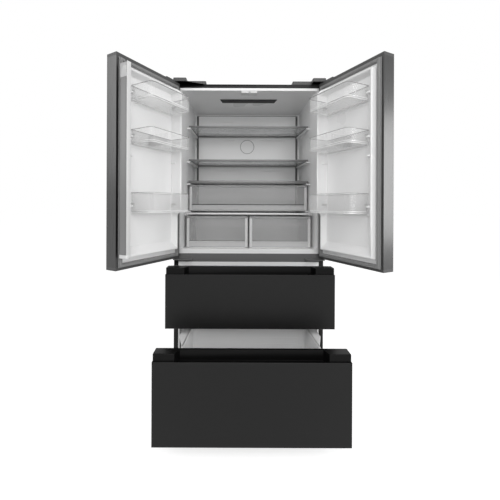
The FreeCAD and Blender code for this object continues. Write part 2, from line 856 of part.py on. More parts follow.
def upright_rib(points, z0, z1):
    """A rib along the door's height from (u, v) points."""
    return prism_z([(half - u, inner_y + v) for u, v in points], z0, z1)


def level_rib(points, u0, u1):
    """A rib along the door's width from (z, v) points."""
    return prism_x([(inner_y + v, z) for z, v in points], half - u1, half - u0)


def ribs(w):
    """The liner's raised edges, or their cores when w is the wall."""
    u0, u1 = u_liner + rim_margin + w, u_liner_end - rim_margin - w
    z0, z1 = z_liner + rim_bottom + w, z_liner_end - rim_top - w
    low = -liner_wall if w else 0.0
    foot = dyke_foot - 2 * w
    top = dyke_top

    def slope(a, high, width):
        return [(a, low), (a + slope_run, high - w), (a + top, high - w), (a + width, low)]

    def slope_back(a, high, width):
        return [(a, low), (a - slope_run, high - w), (a - top, high - w), (a - width, low)]

    return joined([
        upright_rib(slope(u0, dyke_low, foot), z0, z1),
        upright_rib([(u0, low), (u0 + dyke_lean_w, dyke_tall - w),
                     (u0 + dyke_lean_w + dyke_crest_w - 2 * w, dyke_tall - w),
                     (u0 + foot, low)], dyke_split_z + w, z1),
        upright_rib(slope_back(u1, dyke_free, foot), z0, z1),
        level_rib(slope(z0, dyke_low, level_foot), u0 + level_in, u1 - level_in),
        level_rib(slope_back(z1, dyke_free, foot), u0 + level_in, u1 - level_in)])


def ear(u, toward, z):
    u0, u1 = sorted((u, u + toward * (lug_w - 2 * part_gap)))
    low = z + lug_rise + lug_height + running_gap
    return at_door(u0, u1, bin_v0, bin_v0 + lug_depth, low, low + ear_h)


def door_bin(z, high, divided):
    tub = at_door(bin_u0, bin_u1, bin_v0, bin_v1, z, z + high)
    corner = [e for e in tub.Edges if upright(e)
              and e.Vertexes[0].Point.y > inner_y + bin_v1 - part_gap]
    tub = tub.makeChamfer(bin_corner, corner)
    hollow = at_door(bin_u0 + bin_wall, bin_u1 - bin_wall, bin_v0 + bin_wall,
                     bin_v1 - bin_wall, z + bin_base, z + high + overrun)
    corner = [e for e in hollow.Edges if upright(e)
              and e.Vertexes[0].Point.y > inner_y + bin_v1 - bin_wall - part_gap]
    tub = tub.cut(hollow.makeChamfer(bin_corner - bin_wall / 2, corner))
    lip = at_door(bin_u0 + bin_corner, bin_u1 - bin_corner, bin_v1 - bin_lip,
                  bin_v1, z + high - bin_lip_h, z + high)
    pieces = [tub, lip, ear(bin_u0, -1, z), ear(bin_u1, 1, z)]
    if divided:
        pieces.append(at_door(divider_u, divider_u + bin_wall, bin_v0 + bin_wall / 2,
                              bin_v1 - bin_wall / 2, z + bin_base / 2, z + high - bin_lip_h))
    return joined(pieces)


def grip_cut(grow, low):
    """The finger pocket under the door's bottom edge."""
    return at_door(leaf - grip_in - grip_length - grow, leaf - grip_in + grow,
                   -grip_front - grow, -grip_back + grow,
                   low, door_bottom + grip_depth + grow)


def door_pieces(mullion):
    """Skin, end caps, foam, liner and gasket of one door, closed."""
    z0, z1 = door_bottom + door_cap, door_top - door_cap
    back = -door_thick
    edge = at_door(0, leaf, back, 0, door_bottom, door_top)
    edge = rounded(edge, front_round, lambda e: upright(e)
                   and e.Vertexes[0].Point.y < inner_y + back + part_gap)
    skin = edge.common(at_door(-overrun, leaf + overrun, back - overrun, overrun, z0, z1))
    hollow = at_door(sheet, leaf - sheet, back + sheet, -sheet, z0 - overrun, z1 + overrun)
    skin = skin.cut(hollow)
    skin = skin.cut(at_door(band_hinge, leaf - band_free, -2 * sheet, overrun,
                            z0 - overrun, z1 + overrun))
    caps = [edge.common(at_door(-overrun, leaf + overrun, back - overrun, overrun,
                                door_bottom, z0)),
            edge.common(at_door(-overrun, leaf + overrun, back - overrun, overrun,
                                z1, door_top))]
    caps[0] = caps[0].fuse(at_door(band_hinge, leaf - band_free, -cap_skirt, 0,
                                   z0 - cap_skirt, door_bottom + band_bottom + cap_skirt))
    caps[0] = caps[0].fuse(grip_cut(grip_wall, door_bottom))
    caps[0] = caps[0].cut(grip_cut(0, door_bottom - overrun))
    caps[1] = caps[1].fuse(at_door(band_hinge, leaf - band_free, -cap_skirt, 0,
                                   door_top - band_top, z1 + cap_skirt))
    caps[1] = caps[1].fuse(at_door(stop_u, stop_u + stop_length, -stop_deep, 0,
                                   z1, door_top + stop_rise))
    holes = [rod(pin_r + bore_gap, V(pivot.x, pivot.y, door_top - pin_depth - bore_gap),
                 V(0, 0, 1), pin_depth + stop_rise),
             rod(pin_r + bore_gap, V(pivot.x, pivot.y, door_bottom - overrun),
                 V(0, 0, 1), pin_depth + overrun + bore_gap)]
    z_low = door_bottom + band_bottom
    z_high = door_top - band_top
    liner = at_door(band_hinge, leaf - band_free, -liner_wall, 0, z_low, z_high)
    liner = liner.cut(caps[0]).cut(caps[1])
    liner = liner.fuse(ribs(0)).cut(ribs(liner_wall))
    lugs = []
    rib_in = u_liner + rim_margin + dyke_top
    rib_out = u_liner_end - rim_margin - dyke_top
    for z in [b[0] for b in bins.values()] + [spare_lug_z]:
        low, high = z + lug_rise, z + lug_rise + lug_height
        lugs.append(at_door(rib_in, bin_u0 - part_gap, 0, bin_v0 + lug_depth, low, high))
        lugs.append(at_door(bin_u1 + part_gap, rib_out, 0, bin_v0 + lug_depth, low, high))
    liner = joined([liner] + lugs)
    tabs = []
    for z in (mullion_low - tab_thick - running_gap, mullion_high + running_gap):
        tabs.append(at_door(tab_u0, tab_u1, mullion_start, tab_v1, z, z + tab_thick))
    if mullion:
        liner = joined([liner] + tabs)
    foam = at_door(sheet, leaf - sheet, back + sheet, -sheet, z0, z1)
    foam = foam.fuse(ribs(liner_wall)).cut(liner).cut(skin)
    foam = foam.cut(grip_cut(0, door_bottom))
    for cap in caps:
        foam = foam.cut(cap)
    for hole in holes:
        foam = foam.cut(hole)
        caps = [cap.cut(hole) for cap in caps]
    ring = at_door(band_hinge, leaf - band_free, 0, gasket_gap / 2, z_low, z_high)
    step = gasket_w / 5
    bead = at_door(band_hinge + step, leaf - band_free - step, 0, gasket_gap - running_gap,
                   z_low + step, z_high - step)
    inside = at_door(u_liner, u_liner_end, -overrun, gasket_gap + overrun,
                     z_liner, z_liner_end)
    gasket = ring.fuse(bead).removeSplitter().cut(inside)
    return {"skin": [skin], "caps": caps, "foam": foam.Solids, "liner": [liner],
            "gasket": [gasket]}


def open_right(shape):
    shape = shape.copy()
    shape.rotate(pivot, V(0, 0, 1), right_open)
    return shape


def open_left(shape):
    shape = mirrored(shape)
    shape.rotate(V(-pivot.x, pivot.y, 0), V(0, 0, 1), -left_open)
    return shape


leaves = {"left": open_left, "right": open_right}
for name, swing in leaves.items():
    for piece, shapes in door_pieces(name == "left").items():
        save(name + "_door_" + piece, shapes, swing)
    for level, (z, high) in bins.items():
        save("%s_bin_%s" % (name, level), [door_bin(z, high, level == "middle")], swing)

bar = mullion_slab(0, mullion_low, mullion_high)
bar = bar.fuse(rod(peg_r, V(peg_at.x, peg_at.y, mullion_high - overrun), V(0, 0, 1),
                   peg_high - mullion_high + overrun)).removeSplitter()
bar.rotate(V(-pivot.x, pivot.y, 0), V(0, 0, 1), -left_open)
save("mullion", [bar])

# Sliding shelves, their frames and the cover over the wide drawer
shelf_front_w = 12.0
for level, top_z in shelf_tops.items():
    frame, glass = shelf_board(shelf_front, board_back, shelf_front_half, board_back_half,
                               top_z, shelf_trim, shelf_front_w)
    save("shelf_frame_" + level, [frame])
    save("shelf_glass_" + level, [glass])
frame, glass = shelf_board(shelf_front, board_back, shelf_front_half, board_back_half,
                           deli_cover_top, deli_cover_trim, shelf_front_w)
save("deli_cover", [frame, glass])

# Wide drawer and the two crispers
deli_short = 8.0
deli_side = 1.0
deli_drop = 25.0
deli_back = board_back - deli_short
deli_front_half = shelf_front_half - deli_side
deli_back_half = board_back_half - deli_side
deli_top = deli_cover_top - deli_drop
tub_wall = 3.0
tub_base = 3.0
tub_lip = 8.0
tub_lip_h = 10.0
crisper_y0 = 35.0
crisper_short = 46.0
crisper_side = 12.5
crisper_rear_side = 9.0
crisper_inner = 4.0
crisper_drop = 20.0
crisper_y1 = board_back - crisper_short
crisper_outer = throat_half - crisper_side
crisper_outer_back = rear_half - crisper_rear_side
crisper_high = crisper_cover_top - crisper_drop


def tub(plan, hollow, z0, z1, lip):
    """A drawer tub from its plan and its hollow's plan, with a grip lip in front."""
    shape = prism_z(plan, z0, z1).cut(prism_z(hollow, z0 + tub_base, z1 + overrun))
    return joined([shape, lip])


plan = board_plan(deli_front, deli_back, deli_front_half, deli_back_half, 0, 0, 0)
hollow = board_plan(deli_front, deli_back, deli_front_half, deli_back_half,
                    tub_wall, tub_wall, tub_wall)
lip = block(-deli_front_half, deli_front_half, front_y + deli_front - tub_lip,
            front_y + deli_front, deli_top - tub_lip_h, deli_top)
save("deli_drawer", [tub(plan, hollow, deli_bottom, deli_top, lip)])


def crisper_plan(w):
    y0, y1 = front_y + crisper_y0 + w, front_y + crisper_y1 - w
    return [(crisper_inner + w, y0), (crisper_outer - w, y0),
            (crisper_outer_back - w, y1), (crisper_inner + w, y1)]


crisper_low = floor_z + running_gap
lip = block(crisper_inner, crisper_outer, front_y + crisper_y0 - tub_lip,
            front_y + crisper_y0, crisper_high - tub_lip_h, crisper_high)
crisper = tub(crisper_plan(0), crisper_plan(tub_wall), crisper_low, crisper_high, lip)
save("crisper_right", [crisper])
save("crisper_left", [mirrored(crisper)])

# Freezer drawers
slide_room = 72.0
low_slide_room = 14.0
slide_start = 8.0
slide_half_h = 22.0
slide_wall = 1.5
slide_nest = 2.5
slide_flange = 12.0
middle_step = 3.0
inner_step = 3.5
slide_share = 0.53
low_slide_rise = 148.0
outer_x = freezer_half - slide_flange
middle_x = outer_x - middle_step
slide_inner_x = middle_x - inner_step
frame_plate = 2.0
frame_lip = 60.0
cap_lower = 16.0
cap_back = 8.0
cap_inset = 3.0
recess_side = 89.5
recess_half = half - recess_side
recess_slant = 19.0
recess_wall = 18.0
recess_deep = 12.0
cap_round = 3.0
gasket_side = 14.0
basket_wall = 2.5
basket_front = 3.0
basket_rim = 6.0
basket_rim_h = 8.0
basket_rise = 30.0
basket_drop = 1.0
basket_side = 6.5
basket_taper = 6.0
basket_room = 70.0
low_basket_rise = 15.0
low_basket_drop = 6.0
low_basket_side = 54.5
low_basket_taper = 11.0
low_basket_room = 8.0
wing_reach = 34.0
wing_start = 30.0
wing_run = 120.0
upper_seal_drop = 2.0
upper_basket = {
    "z": (upper_front_bottom + basket_rise, freezer_top - basket_drop),
    "x": (slide_inner_x - basket_side, slide_inner_x - basket_side - basket_taper),
    "back": freezer_depth - basket_room, "winged": False}
lower_basket = {
    "z": (freezer_floor + low_basket_rise, low_rail_bottom - low_basket_drop),
    "x": (slide_inner_x - low_basket_side,
          slide_inner_x - low_basket_side - low_basket_taper),
    "back": step_depth - low_basket_room, "winged": True}
slide_z = upper_front_bottom + slide_share * (upper_front_top - upper_front_bottom)
drawers = {
    "upper": {"low": upper_front_bottom, "high": upper_front_top, "pulled": upper_pulled,
              "slide": slide_z, "long": freezer_depth - slide_room,
              "basket": upper_basket, "seal_drop": upper_seal_drop},
    "lower": {"low": lower_front_bottom, "high": lower_front_top, "pulled": lower_pulled,
              "slide": freezer_floor + low_slide_rise,
              "long": step_depth - low_slide_room,
              "basket": lower_basket, "seal_drop": gasket_side}}
face_y = inner_y - front_thick


def channel(x0, x1, z, half_h, wall, length):
    """A slide member: a flat web at x1 with two flanges towards x0."""
    y0 = front_y + slide_start
    y1 = y0 + length
    web = block(x1 - wall, x1, y0, y1, z - half_h, z + half_h)
    flanges = [block(x0, x1, y0, y1, z + s * half_h - (wall if s > 0 else 0),
                     z + s * half_h + (wall if s < 0 else 0)) for s in (-1, 1)]
    return joined([web] + flanges)


def slide_members(z, length):
    """Fixed, middle and drawer members, nested with a running gap."""
    fixed = channel(outer_x, freezer_half, z, slide_half_h, slide_wall, length)
    middle = channel(middle_x, freezer_half - slide_wall - slide_nest / 2, z,
                     slide_half_h - slide_wall - running_gap, slide_wall, length)
    inner = channel(slide_inner_x, freezer_half - 2 * slide_wall - slide_nest, z,
                    slide_half_h - 2 * (slide_wall + running_gap), slide_wall, length)
    return fixed, middle, inner


def handle_cap(high):
    """The black cap with its finger recess, open to the front and the top."""
    top = high + handle_rise
    body = block(-half + cap_inset, half - cap_inset, face_y + cap_back, inner_y, high, top)
    body = rounded(body, cap_round, lambda e: along_x(e) and e.BoundBox.ZMin > top - part_gap)
    root = block(-inner_half, inner_half, face_y + sheet, inner_y, high - cap_lower, high)
    near, far = recess_half, recess_half - recess_slant
    recess = prism_z([(-near, face_y), (near, face_y), (far, inner_y - recess_wall),
                      (-far, inner_y - recess_wall)], high - recess_deep, top + overrun)
    return joined([body, root]).cut(recess)


def drawer_front(low, high):
    """The steel front, open at the back and the top."""
    shape = block(-half, half, face_y, inner_y, low, high)
    shape = rounded(shape, front_round, lambda e: e.BoundBox.YMax < face_y + part_gap
                    and e.BoundBox.ZMax < high + part_gap
                    and not (along_x(e) and e.BoundBox.ZMin > high - part_gap))
    return shape.cut(block(-inner_half, inner_half, face_y + sheet, inner_y + overrun,
                           low + sheet, high + overrun))


def basket_wing(z1, x0, x1, y1):
    """A level rim on each side that widens towards the back of the basket."""
    side = [(x1 - basket_wall, y1), (x0 - basket_wall, basket_front + wing_start),
            (x0 + basket_rim, basket_front + wing_start),
            (x0 + wing_reach, basket_front + wing_start + wing_run), (x0 + wing_reach, y1)]
    return both_sides(prism_z([(x, front_y + y) for x, y in side], z1 - basket_rim_h, z1))


def basket(z0, z1, x0, x1, y1, winged):
    plan = board_plan(basket_front, y1, x0, x1, 0, 0, 0)
    hollow = board_plan(basket_front, y1, x0, x1, basket_wall, basket_wall, basket_wall)
    shape = prism_z(plan, z0, z1).cut(prism_z(hollow, z0 + basket_wall, z1 + overrun))
    rim = board_plan(basket_front, y1, x0, x1, -basket_rim, 0, 0)
    wings = basket_wing(z1, x0, x1, y1) if winged else []
    solid = joined([prism_z(rim, z1 - basket_rim_h, z1)] + wings)
    return joined([shape, solid.cut(prism_z(hollow, z0, z1 + overrun))])


fixed_members = []
for name, d in drawers.items():
    def pulled(shape):
        shape = shape.copy()
        shape.translate(V(0, -d["pulled"], 0))
        return shape

    def half_pulled(shape):
        shape = shape.copy()
        shape.translate(V(0, -d["pulled"] / 2, 0))
        return shape

    low, high = d["low"], d["high"]
    save(name + "_drawer_front", [drawer_front(low, high)], pulled)
    save(name + "_drawer_handle", [handle_cap(high)], pulled)
    core = block(-inner_half, inner_half, face_y + sheet, inner_y,
                 low + sheet, high - cap_lower)
    z0 = low + gasket_side
    z1 = high + handle_rise - d["seal_drop"]
    x1 = half - gasket_side
    seal = block(-x1, x1, inner_y, front_y - running_gap, z0, z1)
    seal = seal.cut(block(-x1 + gasket_w, x1 - gasket_w, inner_y - overrun, front_y + overrun,
                          z0 + gasket_w, z1 - gasket_w))
    save(name + "_drawer_core", [core, seal], pulled)
    fixed, middle, inner = slide_members(d["slide"], d["long"])
    fixed_members += both_sides(fixed)
    save(name + "_slide_middle", both_sides(middle), half_pulled)
    b0, b1 = d["basket"]["z"]
    xf, xb = d["basket"]["x"]
    yb = d["basket"]["back"]
    frame_y1 = front_y + min(yb, slide_start + d["long"])
    plate_top = d["slide"] + slide_half_h - 2 * slide_wall
    plate = block(slide_inner_x - frame_plate, slide_inner_x, front_y, frame_y1,
                  b0 - frame_plate, plate_top)
    arm = block(slide_inner_x - frame_plate, slide_inner_x, inner_y, front_y,
                d["slide"] - slide_half_h, plate_top)
    rest = block(xb - frame_lip, slide_inner_x, front_y, frame_y1, b0 - frame_plate, b0)
    side_frame = joined([plate, arm, rest, inner])
    save(name + "_drawer_frame", both_sides(side_frame), pulled)
    save(name + "_basket", [basket(b0, b1, xf, xb, yb, d["basket"]["winged"])], pulled)
save("slide_rails", fixed_members)
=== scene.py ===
import bpy
import bmesh
import json
import math
import numpy as np
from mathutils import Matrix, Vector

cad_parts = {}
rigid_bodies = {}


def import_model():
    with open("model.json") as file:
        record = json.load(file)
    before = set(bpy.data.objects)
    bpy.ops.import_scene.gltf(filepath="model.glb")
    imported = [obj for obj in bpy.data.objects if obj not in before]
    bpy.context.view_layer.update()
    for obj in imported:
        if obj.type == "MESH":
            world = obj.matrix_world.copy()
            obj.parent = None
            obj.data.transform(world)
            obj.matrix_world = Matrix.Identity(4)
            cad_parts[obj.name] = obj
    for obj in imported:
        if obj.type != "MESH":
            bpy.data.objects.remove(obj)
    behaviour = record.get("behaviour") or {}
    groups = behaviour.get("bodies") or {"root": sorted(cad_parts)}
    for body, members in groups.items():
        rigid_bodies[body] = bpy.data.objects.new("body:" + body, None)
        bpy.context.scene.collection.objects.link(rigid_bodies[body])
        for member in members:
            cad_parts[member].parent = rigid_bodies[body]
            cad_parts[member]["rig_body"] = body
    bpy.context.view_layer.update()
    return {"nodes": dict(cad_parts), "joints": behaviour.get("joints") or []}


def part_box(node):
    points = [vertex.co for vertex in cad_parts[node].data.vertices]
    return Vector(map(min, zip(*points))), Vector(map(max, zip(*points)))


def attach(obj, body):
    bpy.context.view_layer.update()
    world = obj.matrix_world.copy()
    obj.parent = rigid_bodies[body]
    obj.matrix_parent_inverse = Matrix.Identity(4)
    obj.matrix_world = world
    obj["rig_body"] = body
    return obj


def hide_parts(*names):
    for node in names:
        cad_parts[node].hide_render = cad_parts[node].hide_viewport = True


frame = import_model()
nodes = frame["nodes"]
joints = {j["name"]: j for j in frame["joints"]}
mm = 0.001
print("frame loaded:", len(nodes), "nodes")

# Where the doors hang: along a door u runs from its hinge edge to its free edge,
# v runs from its inner face into the cabinet, both in millimetres
doorValues = {
    "half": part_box("outer_panels")[1].x / mm,
    "faceBehindPin": 18.0,
    "leaf": 414.75,
    "bandHinge": 14.0,
    "bandFree": 12.0,
    "low": 789.0,
    "high": 1713.5,
    "seal": 20.0,
}


def doorPoint(side, u, v, z):
    # closed place of the right door turned about its pin, mirrored for the left one
    joint = joints[side + "_door"]
    angle = -math.radians(joint["range_deg"][0])
    pinX, pinY = abs(joint["pos_m"][0]) / mm, joint["pos_m"][1] / mm
    dx = doorValues["half"] - np.asarray(u, float) - pinX
    dy = doorValues["faceBehindPin"] + np.asarray(v, float)
    x = pinX + dx * math.cos(angle) - dy * math.sin(angle)
    y = pinY + dx * math.sin(angle) + dy * math.cos(angle)
    x = x if side == "right" else -x
    return np.stack(np.broadcast_arrays(x, y, np.asarray(z, float)), -1) * mm


# Mesh making

def gridFaces(rows, cols, wrapRows=False, wrapCols=False):
    # four-sided faces of a grid of points, open or closed along either way
    i = np.arange(rows if wrapRows else rows - 1)[:, None]
    j = np.arange(cols if wrapCols else cols - 1)[None, :]
    a, b = i * cols, ((i + 1) % rows) * cols
    k = (j + 1) % cols
    quads = np.stack(np.broadcast_arrays(a + j, a + k, b + k, b + j), -1)
    return quads.reshape(-1, 4).tolist()


def piece(name, parts, material, body, replaced=(), sharp=35.0, outward=True):
    # parts are (points, faces); the points are a grid or a list in metres
    points, faces, first = [], [], 0
    for pts, fcs in parts:
        flat = np.asarray(pts, float).reshape(-1, 3)
        points.append(flat)
        faces += [[n + first for n in f] for f in fcs]
        first += len(flat)
    mesh = bpy.data.meshes.new(name)
    mesh.from_pydata(np.concatenate(points).tolist(), [], faces)
    return finishPiece(name, mesh, material, body, replaced, sharp, outward)


def finishPiece(name, mesh, material, body, replaced=(), sharp=35.0,
                outward=True):
    bm = bmesh.new()
    bm.from_mesh(mesh)
    bmesh.ops.remove_doubles(bm, verts=bm.verts, dist=1e-6)
    bmesh.ops.dissolve_degenerate(bm, edges=bm.edges, dist=1e-6)
    if outward:
        bmesh.ops.recalc_face_normals(bm, faces=bm.faces)
    bm.to_mesh(mesh)
    bm.free()
    mesh.shade_smooth()
    mesh.set_sharp_from_angle(angle=math.radians(sharp))
    mesh.materials.clear()
    mesh.materials.append(material)
    ob = bpy.data.objects.new(name, mesh)
    bpy.context.scene.collection.objects.link(ob)
    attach(ob, body)
    if replaced:
        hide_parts(*replaced)
    return ob


def solidsOf(node):
    # separate closed meshes of a CAD node, largest box first, twins from left to right
    bm = bmesh.new()
    bm.from_mesh(nodes[node].data)
    bmesh.ops.remove_doubles(bm, verts=bm.verts, dist=1e-6)
    left, groups = set(bm.verts), []
    while left:
        group, edge = set(), [left.pop()]
        while edge:
            v = edge.pop()
            group.add(v)
            for e in v.link_edges:
                w = e.other_vert(v)
                if w in left:
                    left.discard(w)
                    edge.append(w)
        groups.append(group)
    meshes = []
    for group in groups:
        part = bm.copy()
        keep = {v.index for v in group}
        part.verts.ensure_lookup_table()
        bmesh.ops.delete(part, geom=[v for v in part.verts if v.index not in keep],
                         context="VERTS")
        bmesh.ops.dissolve_limit(part, angle_limit=math.radians(0.5), verts=part.verts,
                                 edges=part.edges)
        mesh = bpy.data.meshes.new(node + "_part")
        part.to_mesh(mesh)
        part.free()
        co = np.zeros(len(mesh.vertices) * 3)
        mesh.vertices.foreach_get("co", co)
        co = co.reshape(-1, 3)
        meshes.append((float(np.prod(np.ptp(co, axis=0))), co.mean(0), mesh))
    bm.free()
    meshes.sort(key=lambda m: (-round(m[0], 8), *np.round(m[1], 3).tolist()))
    return [m[1:] for m in meshes]


def softened(node, material, width, name=None, steps=3, pick=None, sharp=30.0):
    # a copy of a CAD node, or of one of its solids, with small rounds on its edges
    body = nodes[node]["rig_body"]
    found = solidsOf(node)
    chosen = found if pick is None else [found[pick]]
    made = []
    for i, (centre, mesh) in enumerate(chosen):
        label = (name or node + "_soft") + ("_%d" % (i + 1) if len(chosen) > 1 else "")
        ob = finishPiece(label, mesh, material, body, (node,), sharp, False)
        bevel = ob.modifiers.new("edge rounds", "BEVEL")
        bevel.width = width * mm
        bevel.segments = steps
        bevel.limit_method = "ANGLE"
        bevel.angle_limit = math.radians(sharp)
        bevel.harden_normals = True
        made.append(ob)
    return made


# Shader groups: each puts out colours, masks and heights only

def newGroup(name, inputs, outputs):
    group = bpy.data.node_groups.new(name, "ShaderNodeTree")
    for label, kind, value in inputs:
        socket = group.interface.new_socket(label, in_out="INPUT", socket_type=kind)
        socket.default_value = value
    for label, kind in outputs:
        group.interface.new_socket(label, in_out="OUTPUT", socket_type=kind)
    return group, group.nodes.new("NodeGroupInput"), group.nodes.new("NodeGroupOutput")


def linked(tree, kind, **settings):
    node = tree.nodes.new(kind)
    for key, value in settings.items():
        setattr(node, key, value)
    return node


def grainGroup():
    # noise drawn out along one direction, as rolled or brushed sheet has
    flt = "NodeSocketFloat"
    group, gin, gout = newGroup(
        "brushed grain",
        [("Across", flt, 900.0), ("Along", flt, 12.0), ("Turn", flt, 0.0)],
        [("Streak", flt), ("Height", flt)])
    links = group.links
    coord = linked(group, "ShaderNodeTexCoord")
    split = linked(group, "ShaderNodeSeparateXYZ")
    links.new(coord.outputs["Object"], split.inputs[0])
    across = linked(group, "ShaderNodeMath", operation="ADD")
    links.new(split.outputs[0], across.inputs[0])
    links.new(split.outputs[1], across.inputs[1])
    pair = []
    for source, label in ((across.outputs[0], "Along"), (split.outputs[2], "Across")):
        scaled = linked(group, "ShaderNodeMath", operation="MULTIPLY")
        links.new(source, scaled.inputs[0])
        links.new(gin.outputs[label], scaled.inputs[1])
        pair.append(scaled)
    swapped = []
    for source, label in ((across.outputs[0], "Across"), (split.outputs[2], "Along")):
        scaled = linked(group, "ShaderNodeMath", operation="MULTIPLY")
        links.new(source, scaled.inputs[0])
        links.new(gin.outputs[label], scaled.inputs[1])
        swapped.append(scaled)
    vectors = []
    for p in (pair, swapped):
        vector = linked(group, "ShaderNodeCombineXYZ")
        links.new(p[0].outputs[0], vector.inputs[0])
        links.new(p[1].outputs[0], vector.inputs[1])
        vectors.append(vector)
    mix = linked(group, "ShaderNodeMix", data_type="VECTOR")
    links.new(gin.outputs["Turn"], mix.inputs[0])
    links.new(vectors[0].outputs[0], mix.inputs[4])
    links.new(vectors[1].outputs[0], mix.inputs[5])
    noise = linked(group, "ShaderNodeTexNoise")
    noise.inputs["Scale"].default_value = 1.0
    noise.inputs["Detail"].default_value = 5.0
    noise.inputs["Roughness"].default_value = 0.6
    links.new(mix.outputs[1], noise.inputs["Vector"])
    links.new(noise.outputs["Fac"], gout.inputs["Height"])
    ramp = linked(group, "ShaderNodeMapRange")
    ramp.inputs["From Min"].default_value = 0.3
    ramp.inputs["From Max"].default_value = 0.7
    links.new(noise.outputs["Fac"], ramp.inputs["Value"])
    links.new(ramp.outputs[0], gout.inputs["Streak"])
    return group


def mottleGroup():
    # broad soft cloud and a fine pebble, for moulded plastic and paint
    flt = "NodeSocketFloat"
    group, gin, gout = newGroup(
        "moulded surface",
        [("Cloud Scale", flt, 3.0), ("Pebble Scale", flt, 600.0)],
        [("Cloud", flt), ("Pebble", flt)])
    links = group.links
    coord = linked(group, "ShaderNodeTexCoord")
    for label, detail in (("Cloud", 3.0), ("Pebble", 2.0)):
        noise = linked(group, "ShaderNodeTexNoise")
        noise.inputs["Detail"].default_value = detail
        links.new(coord.outputs["Object"], noise.inputs["Vector"])
        links.new(gin.outputs[label + " Scale"], noise.inputs["Scale"])
        links.new(noise.outputs["Fac"], gout.inputs[label])
    return group


groups = {"grain": grainGroup(), "mottle": mottleGroup()}
print("shader groups made")


def startMaterial(name, values):
    material = bpy.data.materials.new(name)
    material.use_nodes = True
    tree = material.node_tree
    shader = tree.nodes["Principled BSDF"]
    for label, value in values.items():
        shader.inputs[label].default_value = value
    return material, tree, shader


def placed(tree, key, values):
    node = tree.nodes.new("ShaderNodeGroup")
    node.node_tree = groups[key]
    for label, value in values.items():
        node.inputs[label].default_value = value
    return node


def colourBetween(tree, factor, low, high, target):
    mix = linked(tree, "ShaderNodeMix", data_type="RGBA")
    tree.links.new(factor, mix.inputs[0])
    mix.inputs[6].default_value = (*low, 1.0)
    mix.inputs[7].default_value = (*high, 1.0)
    tree.links.new(mix.outputs[2], target)
    return mix


def valueBetween(tree, factor, low, high, target):
    span = linked(tree, "ShaderNodeMapRange")
    tree.links.new(factor, span.inputs["Value"])
    span.inputs["To Min"].default_value = low
    span.inputs["To Max"].default_value = high
    tree.links.new(span.outputs[0], target)


def bumped(tree, shader, height, strength, distance):
    bump = linked(tree, "ShaderNodeBump")
    bump.inputs["Strength"].default_value = strength
    bump.inputs["Distance"].default_value = distance
    tree.links.new(height, bump.inputs["Height"])
    tree.links.new(bump.outputs[0], shader.inputs["Normal"])


def brushedMetal(name, low, high, rough, turn=0.0, across=900.0, metallic=1.0, bump=0.12,
                 coat=0.0):
    material, tree, shader = startMaterial(name, {"Metallic": metallic, "Coat Weight": coat,
                                                  "Coat Roughness": 0.15})
    grain = placed(tree, "grain", {"Across": across, "Turn": turn})
    colourBetween(tree, grain.outputs["Streak"], low, high, shader.inputs["Base Color"])
    valueBetween(tree, grain.outputs["Streak"], rough - 0.04, rough + 0.05,
                 shader.inputs["Roughness"])
    bumped(tree, shader, grain.outputs["Height"], bump, 0.0002)
    return material


def mouldedPlastic(name, low, high, rough, pebble=600.0, bump=0.05, coat=0.0, cloud=3.0,
                   specular=0.5):
    material, tree, shader = startMaterial(name, {"Coat Weight": coat, "Coat Roughness": 0.06,
                                                  "Specular IOR Level": specular})
    mottle = placed(tree, "mottle", {"Cloud Scale": cloud, "Pebble Scale": pebble})
    colourBetween(tree, mottle.outputs["Cloud"], low, high, shader.inputs["Base Color"])
    valueBetween(tree, mottle.outputs["Cloud"], rough - 0.03, rough + 0.04,
                 shader.inputs["Roughness"])
    bumped(tree, shader, mottle.outputs["Pebble"], bump, 0.0003)
    return material


clearValues = {"ior": 1.5, "blend": 0.35, "cloud": 9.0, "pebble": 260.0, "bump": 0.04}


def clearPlastic(name, face, edge, thin, thick, rough=0.06):
    # faint and pale face on, greyer and more solid where the wall is seen edge on
    v = clearValues
    material, tree, shader = startMaterial(name, {"IOR": v["ior"]})
    mottle = placed(tree, "mottle", {"Cloud Scale": v["cloud"], "Pebble Scale": v["pebble"]})
    valueBetween(tree, mottle.outputs["Cloud"], rough, rough + 0.05, shader.inputs["Roughness"])
    bumped(tree, shader, mottle.outputs["Pebble"], v["bump"], 0.0003)
    facing = linked(tree, "ShaderNodeLayerWeight")
    facing.inputs["Blend"].default_value = v["blend"]
    colourBetween(tree, facing.outputs["Facing"], face, edge, shader.inputs["Base Color"])
    valueBetween(tree, facing.outputs["Facing"], thin, thick, shader.inputs["Alpha"])
    return material


def grey(value):
    return (value, value, value)


steel = brushedMetal("dark steel", grey(0.064), grey(0.086), 0.30, turn=1.0, coat=0.2)
frontSteel = brushedMetal("near black steel", grey(0.0066), grey(0.0084), 0.42, metallic=0.6)
casePaint = mouldedPlastic("dark case paint", grey(0.005), grey(0.007), 0.45, pebble=420.0,
                           bump=0.12, specular=0.25)
backSheet = brushedMetal("plated back sheet", grey(0.32), grey(0.40), 0.42, turn=1.0,
                         across=260.0)
railPaint = mouldedPlastic("grey rail paint", grey(0.10), grey(0.115), 0.38, pebble=500.0)
basePaint = mouldedPlastic("black base paint", grey(0.016), grey(0.022), 0.45, bump=0.10)
linerWhite = mouldedPlastic("white moulded liner", grey(0.79), grey(0.83), 0.28,
                            pebble=320.0, bump=0.025, coat=0.2)
ductPale = mouldedPlastic("satin duct panel", grey(0.72), grey(0.78), 0.32, pebble=520.0,
                          bump=0.02)
# painted shade for the channels beside the duct panel, and the ring line on its face
ductShadeAndRing = mouldedPlastic("grey duct painted shade and ring", grey(0.10), grey(0.12), 0.50)
basketWhite = mouldedPlastic("white basket plastic", grey(0.72), grey(0.76), 0.34,
                             pebble=380.0, bump=0.05)
capDark = mouldedPlastic("dark grey cap plastic", grey(0.040), grey(0.050), 0.42, bump=0.10)
